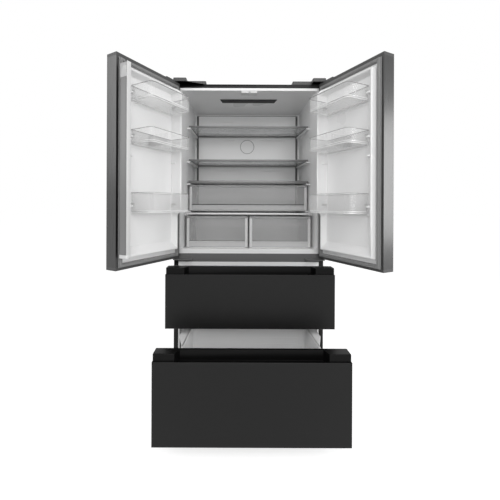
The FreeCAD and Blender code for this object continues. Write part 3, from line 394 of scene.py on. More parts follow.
handleBlack = mouldedPlastic("black grip", grey(0.0015), grey(0.0025), 0.36,
                             pebble=90.0, bump=0.02, specular=0.12)
sealGrey = mouldedPlastic("soft grey seal", grey(0.20), grey(0.23), 0.55, pebble=900.0,
                          bump=0.08)
barGrey = mouldedPlastic("dark grey bar", grey(0.165), grey(0.185), 0.36, pebble=300.0)
barCap = clearPlastic("milky bar end", grey(0.60), grey(0.34), 0.62, 0.92)
binClear = clearPlastic("clear bin plastic", grey(0.88), grey(0.78), 0.03, 0.34)
# painted shade: a grey band laid over each bin's rim draws the dark line along its top edge
binRimShade = clearPlastic("clear bin rim painted shade", grey(0.34), grey(0.42), 0.45, 0.70)
# painted highlight: near-white bands round each bin's foot draw the bright lines there
binFootHighlight = clearPlastic("clear bin foot painted highlight", grey(0.94), grey(0.94), 0.70, 0.90)
tubClear = clearPlastic("clear drawer plastic", grey(0.72), grey(0.34), 0.22, 0.85)
tubEdge = clearPlastic("thick drawer plastic", grey(0.90), grey(0.80), 0.55, 0.85)
# painted shade: dark grey strips along the seam lines of the clear drawer fronts
tubSeamShade = clearPlastic("drawer seam shade", grey(0.10), grey(0.08), 0.60, 0.80)
tubBand = clearPlastic("milky drawer plastic", grey(0.86), grey(0.74), 0.42, 0.66)
shelfGlass = clearPlastic("shelf glass", (0.62, 0.63, 0.63), (0.52, 0.54, 0.54), 0.30, 0.56,
                          rough=0.03)
trimPale = mouldedPlastic("pale shelf trim", grey(0.60), grey(0.64), 0.30, coat=0.3)
trimGrey = mouldedPlastic("grey shelf trim", grey(0.13), grey(0.16), 0.30, coat=0.3)
frameWhite = mouldedPlastic("white frame paint", grey(0.55), grey(0.60), 0.40, pebble=420.0)
lampLens = mouldedPlastic("smoked lamp lens", grey(0.006), grey(0.008), 0.45, specular=0.3)
zinc = brushedMetal("zinc plated sheet", grey(0.42), grey(0.50), 0.34, across=300.0)
finMetal = brushedMetal("bare aluminium", grey(0.62), grey(0.70), 0.36, across=300.0)
fanGrey = mouldedPlastic("fan plastic", grey(0.06), grey(0.075), 0.45)
footBlack = mouldedPlastic("foot plastic", grey(0.020), grey(0.028), 0.5, bump=0.12)
foamCream = mouldedPlastic("cream insulation", (0.66, 0.60, 0.42), (0.74, 0.68, 0.50), 0.85,
                           pebble=160.0, bump=0.5)
print("materials made")


def ringPlan(corners, radii, steps=8, sides=2):
    # closed outline with rounded corners: points and inward normals, from corner points
    # taken counterclockwise; every arc has the same steps and every side the same spans
    corners = np.asarray(corners, float)
    count = len(corners)
    points, normals = [], []
    for k in range(count):
        p, before, after = corners[k], corners[k - 1], corners[(k + 1) % count]
        a = (before - p) / np.linalg.norm(before - p)
        b = (after - p) / np.linalg.norm(after - p)
        half = math.acos(np.clip(np.dot(a, b), -1, 1)) / 2
        centre = p + (a + b) / np.linalg.norm(a + b) * radii[k] / math.sin(half)
        start = np.array([a[1], -a[0]])
        start = start if np.dot(start, centre - p) < 0 else -start
        sweep = math.pi - 2 * half
        t = np.linspace(0, sweep, steps + 1)
        out = np.stack([start[0] * np.cos(t) - start[1] * np.sin(t),
                        start[0] * np.sin(t) + start[1] * np.cos(t)], -1)
        points.append(centre + out * radii[k])
        normals.append(-out)
    allPoints, allNormals = [], []
    for k in range(count):
        nxt = (k + 1) % count
        allPoints.append(points[k])
        allNormals.append(normals[k])
        t = np.linspace(0, 1, sides + 1)[1:-1, None]
        allPoints.append(points[k][-1] * (1 - t) + points[nxt][0] * t)
        allNormals.append(np.repeat(normals[k][-1:], len(t), 0))
    return np.concatenate(allPoints), np.concatenate(allNormals)


def shell(plan, profile, place):
    # a ring profile of (inset, height) carried round a plan; both ends close with a flat
    points, normals = plan
    profile = np.asarray(profile, float)
    flat = points[None] + normals[None] * profile[:, 0][:, None, None]
    high = np.broadcast_to(profile[:, 1][:, None], flat.shape[:2])
    grid = place(flat[..., 0], flat[..., 1], high)
    rows, cols = grid.shape[:2]
    faces = gridFaces(rows, cols, wrapCols=True)
    faces.append(list(range(cols))[::-1])
    faces.append([(rows - 1) * cols + n for n in range(cols)])
    return grid, faces


def ringBand(plan, inset0, inset1, z0, z1, place):
    # a closed flat ring that follows a plan
    points, normals = plan
    insets = np.array([inset0, inset1, inset1, inset0])[:, None, None]
    flat = points[None] + normals[None] * insets
    high = np.broadcast_to(np.array([z0, z0, z1, z1])[:, None], flat.shape[:2])
    grid = place(flat[..., 0], flat[..., 1], high)
    return grid, gridFaces(4, len(points), wrapRows=True, wrapCols=True)


def roomPoint(x, y, z):
    return np.stack(np.broadcast_arrays(x, y, z), -1) * mm


def plate(a, b, c, d, z0, z1, place, radius=1.0):
    # a level block from a to b and from c to d, with small rounds and chamfers
    plan = ringPlan([(a, c), (b, c), (b, d), (a, d)], [radius] * 4, 3)
    k = radius * 0.6
    return shell(plan, [(k, z0), (0, z0 + k), (0, z1 - k), (k, z1)], place)


def arcProfile(centre, radius, start, stop, steps=4):
    t = np.radians(np.linspace(start, stop, steps + 1))
    return [(centre[0] + radius * math.cos(a), centre[1] + radius * math.sin(a)) for a in t]


def tubProfile(z0, z1, wall, base, foot, lipOut, lipDown, roll):
    # outer foot arc, wall, rolled lip, inner wall and inner foot arc
    outer = arcProfile((foot, z0 + foot), foot, 270, 180, 5)
    lip = [(0, z1 - lipDown - roll), (-lipOut + roll / 2, z1 - lipDown),
           (-lipOut, z1 - lipDown + roll / 2), (-lipOut, z1 - roll / 2),
           (-lipOut + roll / 2, z1), (wall - roll / 3, z1), (wall, z1 - roll / 2)]
    inner = arcProfile((wall + foot - base, z0 + foot), foot - base, 180, 270, 5)
    return outer + lip + [(wall, z0 + foot + 1.0)] + inner


# Door liners: a flange, a raised rim that runs round the panel and stands much higher
# beside the bins, and a panel with shallow level steps

linerValues = {
    "rim": 2.0, "low": 18.0, "high": 14.0, "corners": (12.0, 4.0, 8.0, 44.0),
    "crest": 26.0, "crestMore": 4.0, "riseFrom": 40.0, "riseOver": 160.0,
    "split": 1026.0, "blend": 24.0, "ridgeFrom": 6.0, "ridgeOver": 92.0,
    "foot": 28.0, "crestIn": 14.0, "footLow": 48.0,
    "wall": 2.2, "flangeReach": 90.0, "lap": 6.0, "crown": 0.3, "step": 2.4,
    "bins": (1540.0, 1343.0, 1031.0), "spare": 1258.0,
}
ledgeValues = {"spans": ((50.0, 69.4), (341.6, 367.0)), "deep": 30.0, "high": 9.0, "up": 26.0,
               "corner": 9.0, "edge": 1.5}
# rims from outside in: share of the crest and inset on a low one, height and inset on the
# tall one
lowRim = ((0.00, -1.5), (0.02, 0.0), (0.12, 0.9), (0.50, 2.7), (0.84, 4.4), (0.94, 5.4),
          (0.985, 7.0), (1.00, 9.2), (1.00, 11.0), (0.975, 13.2), (0.90, 15.0), (0.76, 16.8),
          (0.45, 20.6), (0.16, 24.8), (0.05, 26.7), (0.0, 29.0))
tallRim = ((0.0, -1.5), (2.0, 0.5), (12.0, 3.1), (32.0, 8.3), (52.0, 13.6), (58.0, 15.4),
           (61.0, 17.0), (62.0, 19.0), (62.0, 22.5), (61.0, 24.6), (58.0, 25.6),
           (50.0, 26.2), (32.0, 26.8), (15.0, 27.4), (3.0, 28.0), (0.0, 29.5))


def smooth(t):
    t = np.clip(t, 0, 1)
    return t * t * (3 - 2 * t)


def doorLiner(side):
    v, d = linerValues, doorValues
    u0 = d["bandHinge"] + d["seal"] + v["rim"]
    u1 = d["leaf"] - d["bandFree"] - d["seal"] - v["rim"]
    z0 = d["low"] + d["seal"] + v["low"]
    z1 = d["high"] - d["seal"] - v["high"]
    corners = [(u0, z0), (u1, z0), (u1, z1), (u0, z1)]
    base, normal = ringPlan(corners, v["corners"], steps=12, sides=70)
    u, z = base[:, 0], base[:, 1]
    toHinge, toLow = (np.clip(normal[:, i], 0, 1) ** 2 for i in (0, 1))
    # the tall rim starts at the split and runs out along the top edge
    tall = smooth((z - v["split"] + v["blend"] / 2) / v["blend"])
    tall = tall * (1 - smooth((u - u0 - v["ridgeFrom"]) / v["ridgeOver"]))
    crest = v["crest"] + (v["crestMore"] * (1 - toHinge)
                          * smooth((z - z0 - v["riseFrom"]) / v["riseOver"]))
    low, high = np.array(lowRim)[..., None], np.array(tallRim)[..., None]
    wide = low[:, 1] + (np.maximum(low[:, 1] - v["crestIn"], 0)
                        * (v["footLow"] - v["foot"]) / (v["foot"] - v["crestIn"]))
    inset = (low[:, 1] * (1 - toLow) + wide * toLow) * (1 - tall) + high[:, 1] * tall
    rise = low[:, 0] * crest * (1 - tall) + high[:, 0] * tall
    flat = base[None] + normal[None] * inset[..., None]
    # past a tight corner the rows meet on the mitre line
    flat[..., 0] = np.clip(flat[..., 0], u0 + low[:, 1], u1 - low[:, 1])
    flat[..., 1] = np.clip(flat[..., 1], z0 + wide, z1 - low[:, 1])
    outerU = u - normal[:, 0] * v["flangeReach"]
    outerZ = z - normal[:, 1] * v["flangeReach"]
    outerU = np.clip(outerU, d["bandHinge"], d["leaf"] - d["bandFree"])
    outerZ = np.clip(outerZ, d["low"], d["high"])
    flange = np.stack([outerU, outerZ], -1)[None]
    flat = np.concatenate([flange, flat])
    rise = np.concatenate([np.zeros((1, len(base))), rise])
    ring = doorPoint(side, flat[..., 0], rise, flat[..., 1])
    parts = [(ring, gridFaces(*ring.shape[:2], wrapCols=True))]
    # the panel inside the rim: a very shallow crown with level steps under each bin
    across = np.linspace(u0 + v["foot"] - v["lap"], u1 - v["foot"] + v["lap"], 40)
    up = np.linspace(z0 + v["footLow"] - v["lap"], z1 - v["foot"] + v["lap"], 240)
    uu, zz = np.meshgrid(across, up)
    step = sum(smooth((zz - b + 14) / 5) * smooth((b + 2 - zz) / 5) for b in v["bins"])
    edge = smooth((uu - across[0] - 10) / 14) * smooth((across[-1] - 10 - uu) / 14)
    panel = doorPoint(side, uu, v["crown"] + v["step"] * step * edge, zz)
    parts.append((panel, gridFaces(*panel.shape[:2])))
    return piece(side + "_door_liner_skin", parts, linerWhite, side + "_door",
                 (side + "_door_liner",), sharp=50, outward=False)


def orient(ob, direction):
    # turns an open sheet so that most of its faces look along a direction
    mesh = ob.data
    count = len(mesh.polygons)
    normals, areas = np.zeros(count * 3), np.zeros(count)
    mesh.polygons.foreach_get("normal", normals)
    mesh.polygons.foreach_get("area", areas)
    if (normals.reshape(-1, 3) @ np.asarray(direction) * areas).sum() < 0:
        mesh.flip_normals()


def doorInward(side):
    a = doorPoint(side, 200.0, 0.0, 1000.0)
    b = doorPoint(side, 200.0, 1.0, 1000.0)
    return (b - a) / np.linalg.norm(b - a)


def binLedges(side):
    # small ledges on the two rims that the bins' ears sit on
    v, edge, parts = ledgeValues, ledgeValues["edge"], []
    for z in linerValues["bins"] + (linerValues["spare"],):
        for a, b in v["spans"]:
            plan = ringPlan([(a, 0.0), (b, 0.0), (b, v["deep"]), (a, v["deep"])],
                            [1.0, 1.0, v["corner"], v["corner"]], 4)
            z0, z1 = z + v["up"], z + v["up"] + v["high"]
            profile = [(edge, z0), (0, z0 + edge), (0, z1 - edge), (edge, z1)]
            parts.append(shell(plan, profile, lambda u, w, h: doorPoint(side, u, w, h)))
    return piece(side + "_door_bin_ledges", parts, linerWhite, side + "_door")


for side in ("left", "right"):
    liner = doorLiner(side)
    orient(liner, doorInward(side))
    wall = liner.modifiers.new("wall", "SOLIDIFY")
    wall.thickness = linerValues["wall"] * mm
    wall.offset = -1.0
    binLedges(side)
print("door liners made")


# Door seals: a bellows profile round the door, mitred at the corners

sealCorner = 2.0
# the bellows: inset from the band's edge, and height above the door
sealProfile = np.array([
    (0.0, 0.0), (0.0, 2.6), (0.8, 3.4), (2.6, 3.4), (3.4, 4.4), (2.8, 6.0), (2.9, 8.0),
    (3.6, 10.2), (4.8, 11.3), (6.2, 11.6), (8.0, 11.6), (8.4, 10.9), (9.0, 10.9),
    (9.4, 11.6), (12.6, 11.6), (13.0, 10.9), (13.6, 10.9), (14.0, 11.5), (15.2, 11.1),
    (16.2, 10.0), (16.6, 8.0), (16.0, 6.0), (16.4, 4.6), (17.4, 3.6), (19.2, 3.0),
    (20.0, 2.0), (20.0, 0.0)])


def doorSeal(side):
    d = doorValues
    u0, u1 = d["bandHinge"], d["leaf"] - d["bandFree"]
    corners = [(u0, d["low"]), (u1, d["low"]), (u1, d["high"]), (u0, d["high"])]
    points = ringPlan(corners, [sealCorner] * 4, steps=3, sides=2)[0]
    # past the corner arc an inset point is kept on the mitre line
    inset, high = sealProfile[:, 0][:, None], sealProfile[:, 1][:, None]
    middle = np.array([(u0 + u1) / 2, (d["low"] + d["high"]) / 2])
    fromMiddle = points - middle
    halfSpan = np.array([(u1 - u0) / 2, (d["high"] - d["low"]) / 2])
    shrink = np.minimum(np.abs(fromMiddle)[None], (halfSpan[None, None] - inset[..., None]))
    flat = middle + np.sign(fromMiddle)[None] * shrink
    grid = doorPoint(side, flat[..., 0], np.broadcast_to(high, flat.shape[:2]), flat[..., 1])
    faces = gridFaces(*grid.shape[:2], wrapRows=True, wrapCols=True)
    return piece(side + "_door_seal", [(grid, faces)], sealGrey, side + "_door",
                 (side + "_door_gasket",), sharp=40)


for side in ("left", "right"):
    doorSeal(side)


# Door foam: one block behind the liner, above the finger pocket

foamValues = {"u": (1.2, 413.5), "v": (-63.2, -3.4), "z": (820.0, 1713.0), "radius": 3.0}


def doorFoam(side):
    (u0, u1), (v0, v1), (z0, z1) = (foamValues[k] for k in ("u", "v", "z"))
    block = plate(u0, u1, v0, v1, z0, z1, lambda u, w, h: doorPoint(side, u, w, h),
                  foamValues["radius"])
    return piece(side + "_door_foam_block", [block], foamCream, side + "_door",
                 (side + "_door_foam",), sharp=40)


# Door bins: clear trays with round front corners, a rolled rim, ears and a rib, a painted
# shade line along the rim and painted highlight lines round the foot

binValues = {
    "u": (70.0, 341.0), "v": (4.4, 137.0), "front": 24.0, "back": 7.0, "wall": 2.6,
    "inner": 2.0, "base": 3.0, "foot": 9.0, "roll": 2.4, "lipDown": 5.0, "lipOut": 1.8,
    "levels": {"top": (1540.0, 68.0), "middle": (1343.0, 65.0), "bottom": (1031.0, 91.0)},
    "divider": 236.0, "earUp": 36.3, "earHigh": 6.0, "earOut": 5.6, "earDepth": 26.0,
    "skin": 0.1, "rimLine": 1.4, "footIn": 2.0, "footLine": 3.2, "wallLine": (-0.2, 0.8),
}


def doorBin(side, level):
    b = binValues
    z, high = b["levels"][level]
    (u0, u1), (v0, v1) = b["u"], b["v"]
    inner, skin, title = b["inner"], b["skin"], "%s_bin_%s" % (side, level)

    def place(u, w, h):
        return doorPoint(side, u, w, h)

    plan = ringPlan([(u0 + inner, v0), (u1 - inner, v0), (u1 - inner, v1 - inner),
                     (u0 + inner, v1 - inner)],
                    [b["back"], b["back"], b["front"], b["front"]], steps=14, sides=6)
    profile = tubProfile(z, z + high, b["wall"], b["base"], b["foot"], b["lipOut"],
                         b["lipDown"], b["roll"])
    parts = [shell(plan, profile, place)]
    for u, out in ((u0 + inner, -1), (u1 - inner, 1)):
        a, c = sorted((u - out * 1.0, u + out * (b["earOut"] + inner)))
        low = z + b["earUp"]
        parts.append(plate(a, c, v0 + 1.0, v0 + b["earDepth"], low, low + b["earHigh"], place))
    if level == "middle":
        parts.append(plate(b["divider"], b["divider"] + b["wall"], v0 + 3.0, v1 - 6.0,
                           z + b["base"] - 0.6, z + high - 9.0, place, 0.8))
    piece(title + "_tray", parts, binClear, title, (title,), sharp=40)
    # painted shade line along the rim
    rim = ringBand(plan, -b["lipOut"] - skin, b["wall"] + skin, z + high - b["rimLine"],
                   z + high + skin, place)
    piece(title + "_rim", [rim], binRimShade, title, sharp=40)
    # painted highlight lines round the foot and low on the wall
    under = ringBand(plan, b["footIn"], b["foot"], z - skin, z + b["footLine"], place)
    above = ringBand(plan, *b["wallLine"], z + b["foot"] - 2.0, z + b["foot"] + 1.0, place)
    piece(title + "_foot", [under, above], binFootHighlight, title, sharp=40)


for side in ("left", "right"):
    doorFoam(side)
    for level in binValues["levels"]:
        doorBin(side, level)
print("door bins made")


# Clear drawers of the fridge: tapered tubs with a grip bar and a rib in front

tubValues = {
    "wall": 3.2, "base": 3.0, "foot": 7.0, "roll": 2.6, "lipDown": 7.0, "lipOut": 0.4,
    "behindBar": 8.0, "bar": 10.0, "rib": 4.0, "ribProud": 3.0,
}
# a drawer's taper away from and towards the middle, corner, where its rib runs, and the
# heights of the bands, lines and painted seam shade strips that show through its front
crisperFront = {"taper": (11.0, 0.0), "corner": 8.0, "rib": (14.0, 34.0),
                "band": ((6.0, 30.5),), "lines": ((0.0, 4.0), (31.5, 37.5)),
                "seamShade": ((38.0, 39.5),)}
deliFront = {"taper": (14.0, 14.0), "corner": 9.0, "rib": (16.0, 30.0),
             "band": ((6.0, 28.0),), "lines": ((0.0, 3.0), (29.0, 34.0)),
             "seamShade": ((34.4, 40.0),)}
endValues = {"wide": 15.0, "inset": 1.5, "proud": 1.2, "sunk": 0.4, "up": 3.0, "down": 11.0}


def gripBar(x0, x1, yFront, yBack, z0, z1):
    # a round-nosed bar along X
    nose = (z1 - z0) / 2
    plan = ringPlan([(x0, yFront), (x1, yFront), (x1, yBack), (x0, yBack)],
                    [nose, nose, 1.0, 1.0], 5)
    return shell(plan, [(nose * 0.7, z0), (nose * 0.2, z0 + nose * 0.3), (0, z0 + nose),
                        (nose * 0.2, z1 - nose * 0.3), (nose * 0.7, z1)], roomPoint)


def nodeBox(node):
    low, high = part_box(node)
    return [c / mm for c in low], [c / mm for c in high]


def clearDrawer(name, look, mirrored=False):
    t, e = tubValues, endValues
    (x0, yBar, z0), (x1, y1, z1) = nodeBox(name)
    body, y0 = nodes[name]["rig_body"], yBar + t["behindBar"]
    taper0, taper1 = look["taper"][::-1] if mirrored else look["taper"]
    plan = ringPlan([(x0, y0), (x1, y0), (x1 - taper1, y1), (x0 + taper0, y1)],
                    [look["corner"]] * 4, steps=10, sides=8)
    profile = tubProfile(z0, z1, t["wall"], t["base"], t["foot"], t["lipOut"], t["lipDown"],
                         t["roll"])
    ribIn, ribUp = look["rib"]
    parts = [shell(plan, profile, roomPoint),
             gripBar(x0 + 1, x1 - 1, yBar, y0 + 1.0, z1 - t["bar"], z1),
             gripBar(x0 + ribIn, x1 - ribIn, y0 - t["ribProud"], y0 + 1.0, z0 + ribUp,
                     z0 + ribUp + t["rib"])]
    piece(name + "_tub", parts, tubClear, body, (name,), sharp=40)
    # thicker ends, level bands and dark strips of painted shade along each seam line, that show
    # through the clear front
    ya, yb = y0 - e["proud"], y0 + e["sunk"]
    left, right = x0 + e["inset"] + e["wide"], x1 - e["inset"] - e["wide"]
    ends = [plate(a, b, ya, yb, z0 + e["up"], z1 - e["down"], roomPoint, 0.5)
            for a, b in ((x0 + e["inset"], left), (right, x1 - e["inset"]))]
    for label, finish in (("lines", tubEdge), ("seamShade", tubSeamShade), ("band", tubBand)):
        parts = [plate(left + 0.5, right - 0.5, ya, yb, z0 + a, z0 + b, roomPoint, 0.5)
                 for a, b in look[label]]
        piece(name + "_" + label, parts + (ends if label == "lines" else []), finish, body,
              sharp=40)


clearDrawer("crisper_left", crisperFront)
clearDrawer("crisper_right", crisperFront, mirrored=True)
clearDrawer("deli_drawer", deliFront)
print("clear drawers made")


# Freezer baskets: white tubs with a broad rim and level ribs inside the back wall

basketValues = {"rim": 6.0, "rimHigh": 9.0, "wall": 2.8, "foot": 14.0, "corner": 22.0,
                "ribs": 9, "ribProud": 0.9, "ribSunk": 1.2, "ribHigh": 4.0, "ribIn": 40.0,
                "ribUp": 14.0, "ribClear": 30.0, "wingStart": 30.0, "wingRun": 120.0,
                "wingHigh": 7.0, "wingEdge": 1.2, "wingLap": 2.0}


def basketTub(name, x0, taper, winged=False):
    b = basketValues
    low, high = nodeBox(name)
    plan = ringPlan([(-x0, low[1]), (x0, low[1]), (x0 - taper, high[1]), (-x0 + taper, high[1])],
                    [b["corner"]] * 4, steps=10, sides=8)
    z0, z1 = low[2], high[2]
    rim = b["rim"]
    foot = b["foot"]
    outer = arcProfile((foot, z0 + foot), foot, 270, 180, 6)
    lip = [(0, z1 - b["rimHigh"]), (-rim + 1.5, z1 - b["rimHigh"]),
           (-rim, z1 - b["rimHigh"] + 1.5), (-rim, z1 - 2), (-rim + 2, z1),
           (b["wall"] - 2, z1), (b["wall"], z1 - 2)]
    inner = arcProfile((foot, z0 + foot), foot - b["wall"], 180, 270, 6)
    parts = [shell(plan, outer + lip + inner, roomPoint)]
    span = z1 - z0 - 2 * foot - b["ribClear"]
    ribX, ribY = x0 - taper - b["ribIn"], high[1] - b["wall"]
    for i in range(b["ribs"]):
        z = z0 + foot + b["ribUp"] + span * i / (b["ribs"] - 1)
        parts.append(plate(-ribX, ribX, ribY - b["ribProud"], ribY + b["ribSunk"],
                           z, z + b["ribHigh"], roomPoint, 0.8))
    if winged:
        # a level shelf beside each rim, running out to the drawer's rails
        y0 = low[1] + b["wingStart"]
        for sign in (-1, 1):
            wing = [(x0 - b["wingLap"], y0), (high[0], y0 + b["wingRun"]), (high[0], high[1]),
                    (x0 - taper, high[1])]
            wing = [(sign * x, y) for x, y in wing[::sign]]
            plan = ringPlan(wing, [1.0, 6.0, 1.0, 1.0][::sign], 5)
            edge, under = b["wingEdge"], z1 - b["wingHigh"]
            parts.append(shell(plan, [(edge, under), (0, under + edge), (0, z1 - edge),
                                      (edge, z1)], roomPoint))
    return piece(name + "_tub", parts, basketWhite, nodes[name]["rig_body"],
                 (name,), sharp=40)


basketTub("upper_basket", 358.0, 6.0)
basketTub("lower_basket", 310.0, 11.0, winged=True)
print("baskets made")


# Mullion: a flat bar with a round nose, a light edge strip and milky ends

mullionValues = {
    "reach": 410.0, "thick": 25.0, "start": 12.5, "width": 48.0, "low": 834.0,
    "high": 1676.5, "peak": 5.0, "capTop": 62.0, "capLow": 16.0, "pegU": 391.7, "pegV": 36.5,
    "pegHalf": 4.0, "pegCorner": 3.9,
}


def mullionPlace(u, w, h):
    return doorPoint("left", u, w, h)


def mullionPiece(name, u0, u1, v0, v1, z0, z1, radii, material, replaced=()):
    plan = ringPlan([(u0, v0), (u1, v0), (u1, v1), (u0, v1)], radii, 6)
    profile = [(1.2, z0), (0.3, z0 + 0.4), (0, z0 + 1.2), (0, z1 - 1.2), (0.3, z1 - 0.4),
               (1.2, z1)]
    return piece(name, [shell(plan, profile, mullionPlace)], material, "mullion",
                 replaced, sharp=40)


m = mullionValues
mu0, mu1 = m["reach"] - m["thick"], m["reach"]
mv0, mv1 = m["start"], m["start"] + m["width"]
split1, split0 = m["high"] - m["capTop"], m["low"] + m["capLow"]
mullionPiece("mullion_bar", mu0, mu1 - 1.2, mv0 + 0.4, mv1 - 2.4, split0, split1,
             [3.0, 8.0, 3.0, 3.0], barGrey, ("mullion",))
mullionPiece("mullion_edge_strip", mu0 + 2.0, mu1 - 2.5, mv1 - 3.5, mv1, split0,
             m["high"] + m["peak"], [1.4] * 4, trimPale)
mullionPiece("mullion_face_strip", mu1 - 1.6, mu1, mv0 + 9.0, mv1 - 6.0, split0, split1,
             [0.7] * 4, barGrey)
mullionPiece("mullion_top_end", mu0, mu1, mv0, mv1 - 3.4, split1, m["high"],
             [4.0, 8.0, 3.0, 3.0], barCap)
mullionPiece("mullion_low_end", mu0, mu1, mv0, mv1, m["low"], split0,
             [4.0, 8.0, 6.0, 4.0], trimPale)
pegCorners = [(m["pegU"] + a * m["pegHalf"], m["pegV"] + b * m["pegHalf"])
              for a, b in ((-1, -1), (1, -1), (1, 1), (-1, 1))]
pegPlan = ringPlan(pegCorners, [m["pegCorner"]] * 4, 6)
pegTop = nodeBox("mullion")[1][2]
pegProfile = [(0, m["high"] - 2), (0, pegTop - 1.5), (0.5, pegTop - 0.5), (1.5, pegTop)]
piece("mullion_peg", [shell(pegPlan, pegProfile, mullionPlace)], capDark, "mullion",
      sharp=40)
print("mullion made")


# Shelf boards: a glass plate in a front bar, two slim sides and a back bar

boardValues = {"side": 6.0, "back": 9.0, "glass": 4.0, "drop": 1.0, "lap": 3.5,
               "frontCorner": 3.0, "backCorner": 2.0, "paneCorner": 1.5, "edge": 1.4,
               "sideEdge": 0.8}
# frame node, glass nodes, taper to the back, depth of the front bar, finish
boards = {
    "shelf_upper": ("shelf_frame_upper", ("shelf_glass_upper",), 14.0, 12.0, trimGrey),
    "shelf_lower": ("shelf_frame_lower", ("shelf_glass_lower",), 14.0, 12.0, trimGrey),
    "deli_lid": ("deli_cover", (), 14.0, 12.0, trimGrey),
    "crisper_lid": ("crisper_cover", (), 16.0, 12.0, trimPale),
}


def shelfBoard(name, frameNode, glassNodes, taper, front, finish):
    b = boardValues
    low, high = nodeBox(frameNode)
    body = nodes[frameNode]["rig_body"]
    x0, y0, y1, z0, z1 = high[0], low[1], high[1], low[2], high[2]
    slope = taper / (y1 - y0)

    def half(y, inset):
        return x0 - slope * (y - y0) - inset

    def bar(ya, yb, inset, radius, za, zb):
        plan = ringPlan([(-half(ya, inset), ya), (half(ya, inset), ya), (half(yb, inset), yb),
                         (-half(yb, inset), yb)], [radius] * 4, 5)
        r = min(b["edge"], (zb - za) / 4)
        profile = [(r, za), (r * 0.3, za + r * 0.3), (0, za + r), (0, zb - r),
                   (r * 0.3, zb - r * 0.3), (r, zb)]
        return shell(plan, profile, roomPoint)

    def sidePart(sign):
        ya, yb = y0 + front - 1.0, y1 - b["back"] + 1.0
        corners = [(half(ya, b["side"]), ya), (half(ya, 0), ya), (half(yb, 0), yb),
                   (half(yb, b["side"]), yb)]
        if sign < 0:
            corners = [(-x, y) for x, y in corners[::-1]]
        r = b["sideEdge"]
        plan = ringPlan(corners, [r] * 4, 3)
        return shell(plan, [(r, z0), (0, z0 + r), (0, z1 - r), (r, z1)], roomPoint)

    trim = [bar(y0, y0 + front, 0.0, b["frontCorner"], z0, z1),
            bar(y1 - b["back"], y1, 0.0, b["backCorner"], z0, z1), sidePart(-1), sidePart(1)]
    piece(name + "_trim", trim, finish, body, (frameNode,), sharp=40)
    top = z1 - b["drop"]
    pane = bar(y0 + front - b["lap"], y1 - b["back"] + b["lap"], b["side"] - b["lap"] + 1.0,
               b["paneCorner"], top - b["glass"], top)
    piece(name + "_glass", [pane], shelfGlass, body, glassNodes, sharp=40)


for name, values in boards.items():
    shelfBoard(name, *values)
print("shelves made")


# CAD nodes that keep their shape get rounds on their edges and their own finish

for node, material, width in [
        ("outer_panels", casePaint, 0.5),
        ("cross_rails", railPaint, 0.6),
        ("hinge_covers", capDark, 1.2),
        ("left_door_caps", capDark, 0.8),
        ("right_door_caps", capDark, 0.8),
        ("upper_drawer_front", frontSteel, 0.5),
        ("lower_drawer_front", frontSteel, 0.5),
        ("upper_drawer_handle", handleBlack, 1.0),
        ("lower_drawer_handle", handleBlack, 1.0),
        ("machine_cover", basePaint, 0.4),
        ("mullion_guide", trimPale, 1.2),
        ("duct_panel", ductPale, 1.0),
        ("ceiling_lamp", lampLens, 0.8),
        ("fridge_liner", linerWhite, 3.0),
        ("freezer_liner", linerWhite, 2.0),
        ("levelling_feet", footBlack, 1.0),
        ("compressor", basePaint, 1.0)]:
    softened(node, material, width)

# the low hinge plates lie on the rail and wear its paint
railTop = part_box("cross_rails")[1].z
for i, (centre, _) in enumerate(solidsOf("door_hinges")):
    finish = capDark if centre[2] > railTop + 0.1 else railPaint
    softened("door_hinges", finish, 0.6, "door_hinges_soft_%d" % (i + 1), pick=i)

for node, materials, width in [
        ("upper_drawer_core", (linerWhite, sealGrey), 1.5),
        ("lower_drawer_core", (linerWhite, sealGrey), 1.5),
        ("evaporator_cover", (linerWhite, basePaint), 0.8),
        ("condenser", (basePaint, basePaint), 0.3)]:
    count = len(solidsOf(node))
    for i, material in enumerate(materials[:count]):
        softened(node, material, width, node + "_soft_%d" % (i + 1), pick=i)

for node, material in {
        "back_panel": backSheet, "base_pan": basePaint, "cabinet_foam": foamCream,
        "left_door_skin": steel, "right_door_skin": steel,
        "rear_rollers": footBlack, "evaporator": finMetal,
        "condenser_fan": fanGrey, "evaporator_fan": fanGrey, "slide_rails": zinc,
        "upper_slide_middle": zinc, "lower_slide_middle": zinc,
        "upper_drawer_frame": frameWhite, "lower_drawer_frame": frameWhite}.items():
    mesh = nodes[node].data
    mesh.materials.clear()
    mesh.materials.append(material)
print("kept parts finished")


# Drawer fronts: a strip of the lighter door steel on the folded top edge of the sheet, a painted
# highlight for the fold's shine, shows as a thin line under the recess

foldShineValues = {"in": 8.0, "behind": 0.4, "wide": 2.0, "proud": 0.4, "corner": 0.3}

for name in ("upper_drawer", "lower_drawer"):
    (x0, y0, _), (x1, _, z1) = nodeBox(name + "_front")
    f = foldShineValues
    # lighter steel than the front, as painted highlight on the fold
    foldShine = plate(x0 + f["in"], x1 - f["in"], y0 + f["behind"], y0 + f["behind"] + f["wide"],
                 z1 - f["proud"], z1 + f["proud"], roomPoint, f["corner"])
    piece(name + "_edge", [foldShine], steel, nodes[name + "_front"]["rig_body"],
          sharp=40)


# Duct panel's dark strips of painted shade in the channels at its sides and top, and the plain
# ring drawn on its face

# the first value is the width of each side strip of painted shade in the channels
ductValues = {"seal": 14.0, "gap": 2.0, "deep": 0.8, "behind": 0.3, "corner": 0.3, "up": 4.0,
              "topGap": 1.0, "topHigh": 4.0, "ring": 44.5, "line": 2.6, "ringZ": 1463.4,
              "ringProud": 0.3, "ringSunk": 0.4}


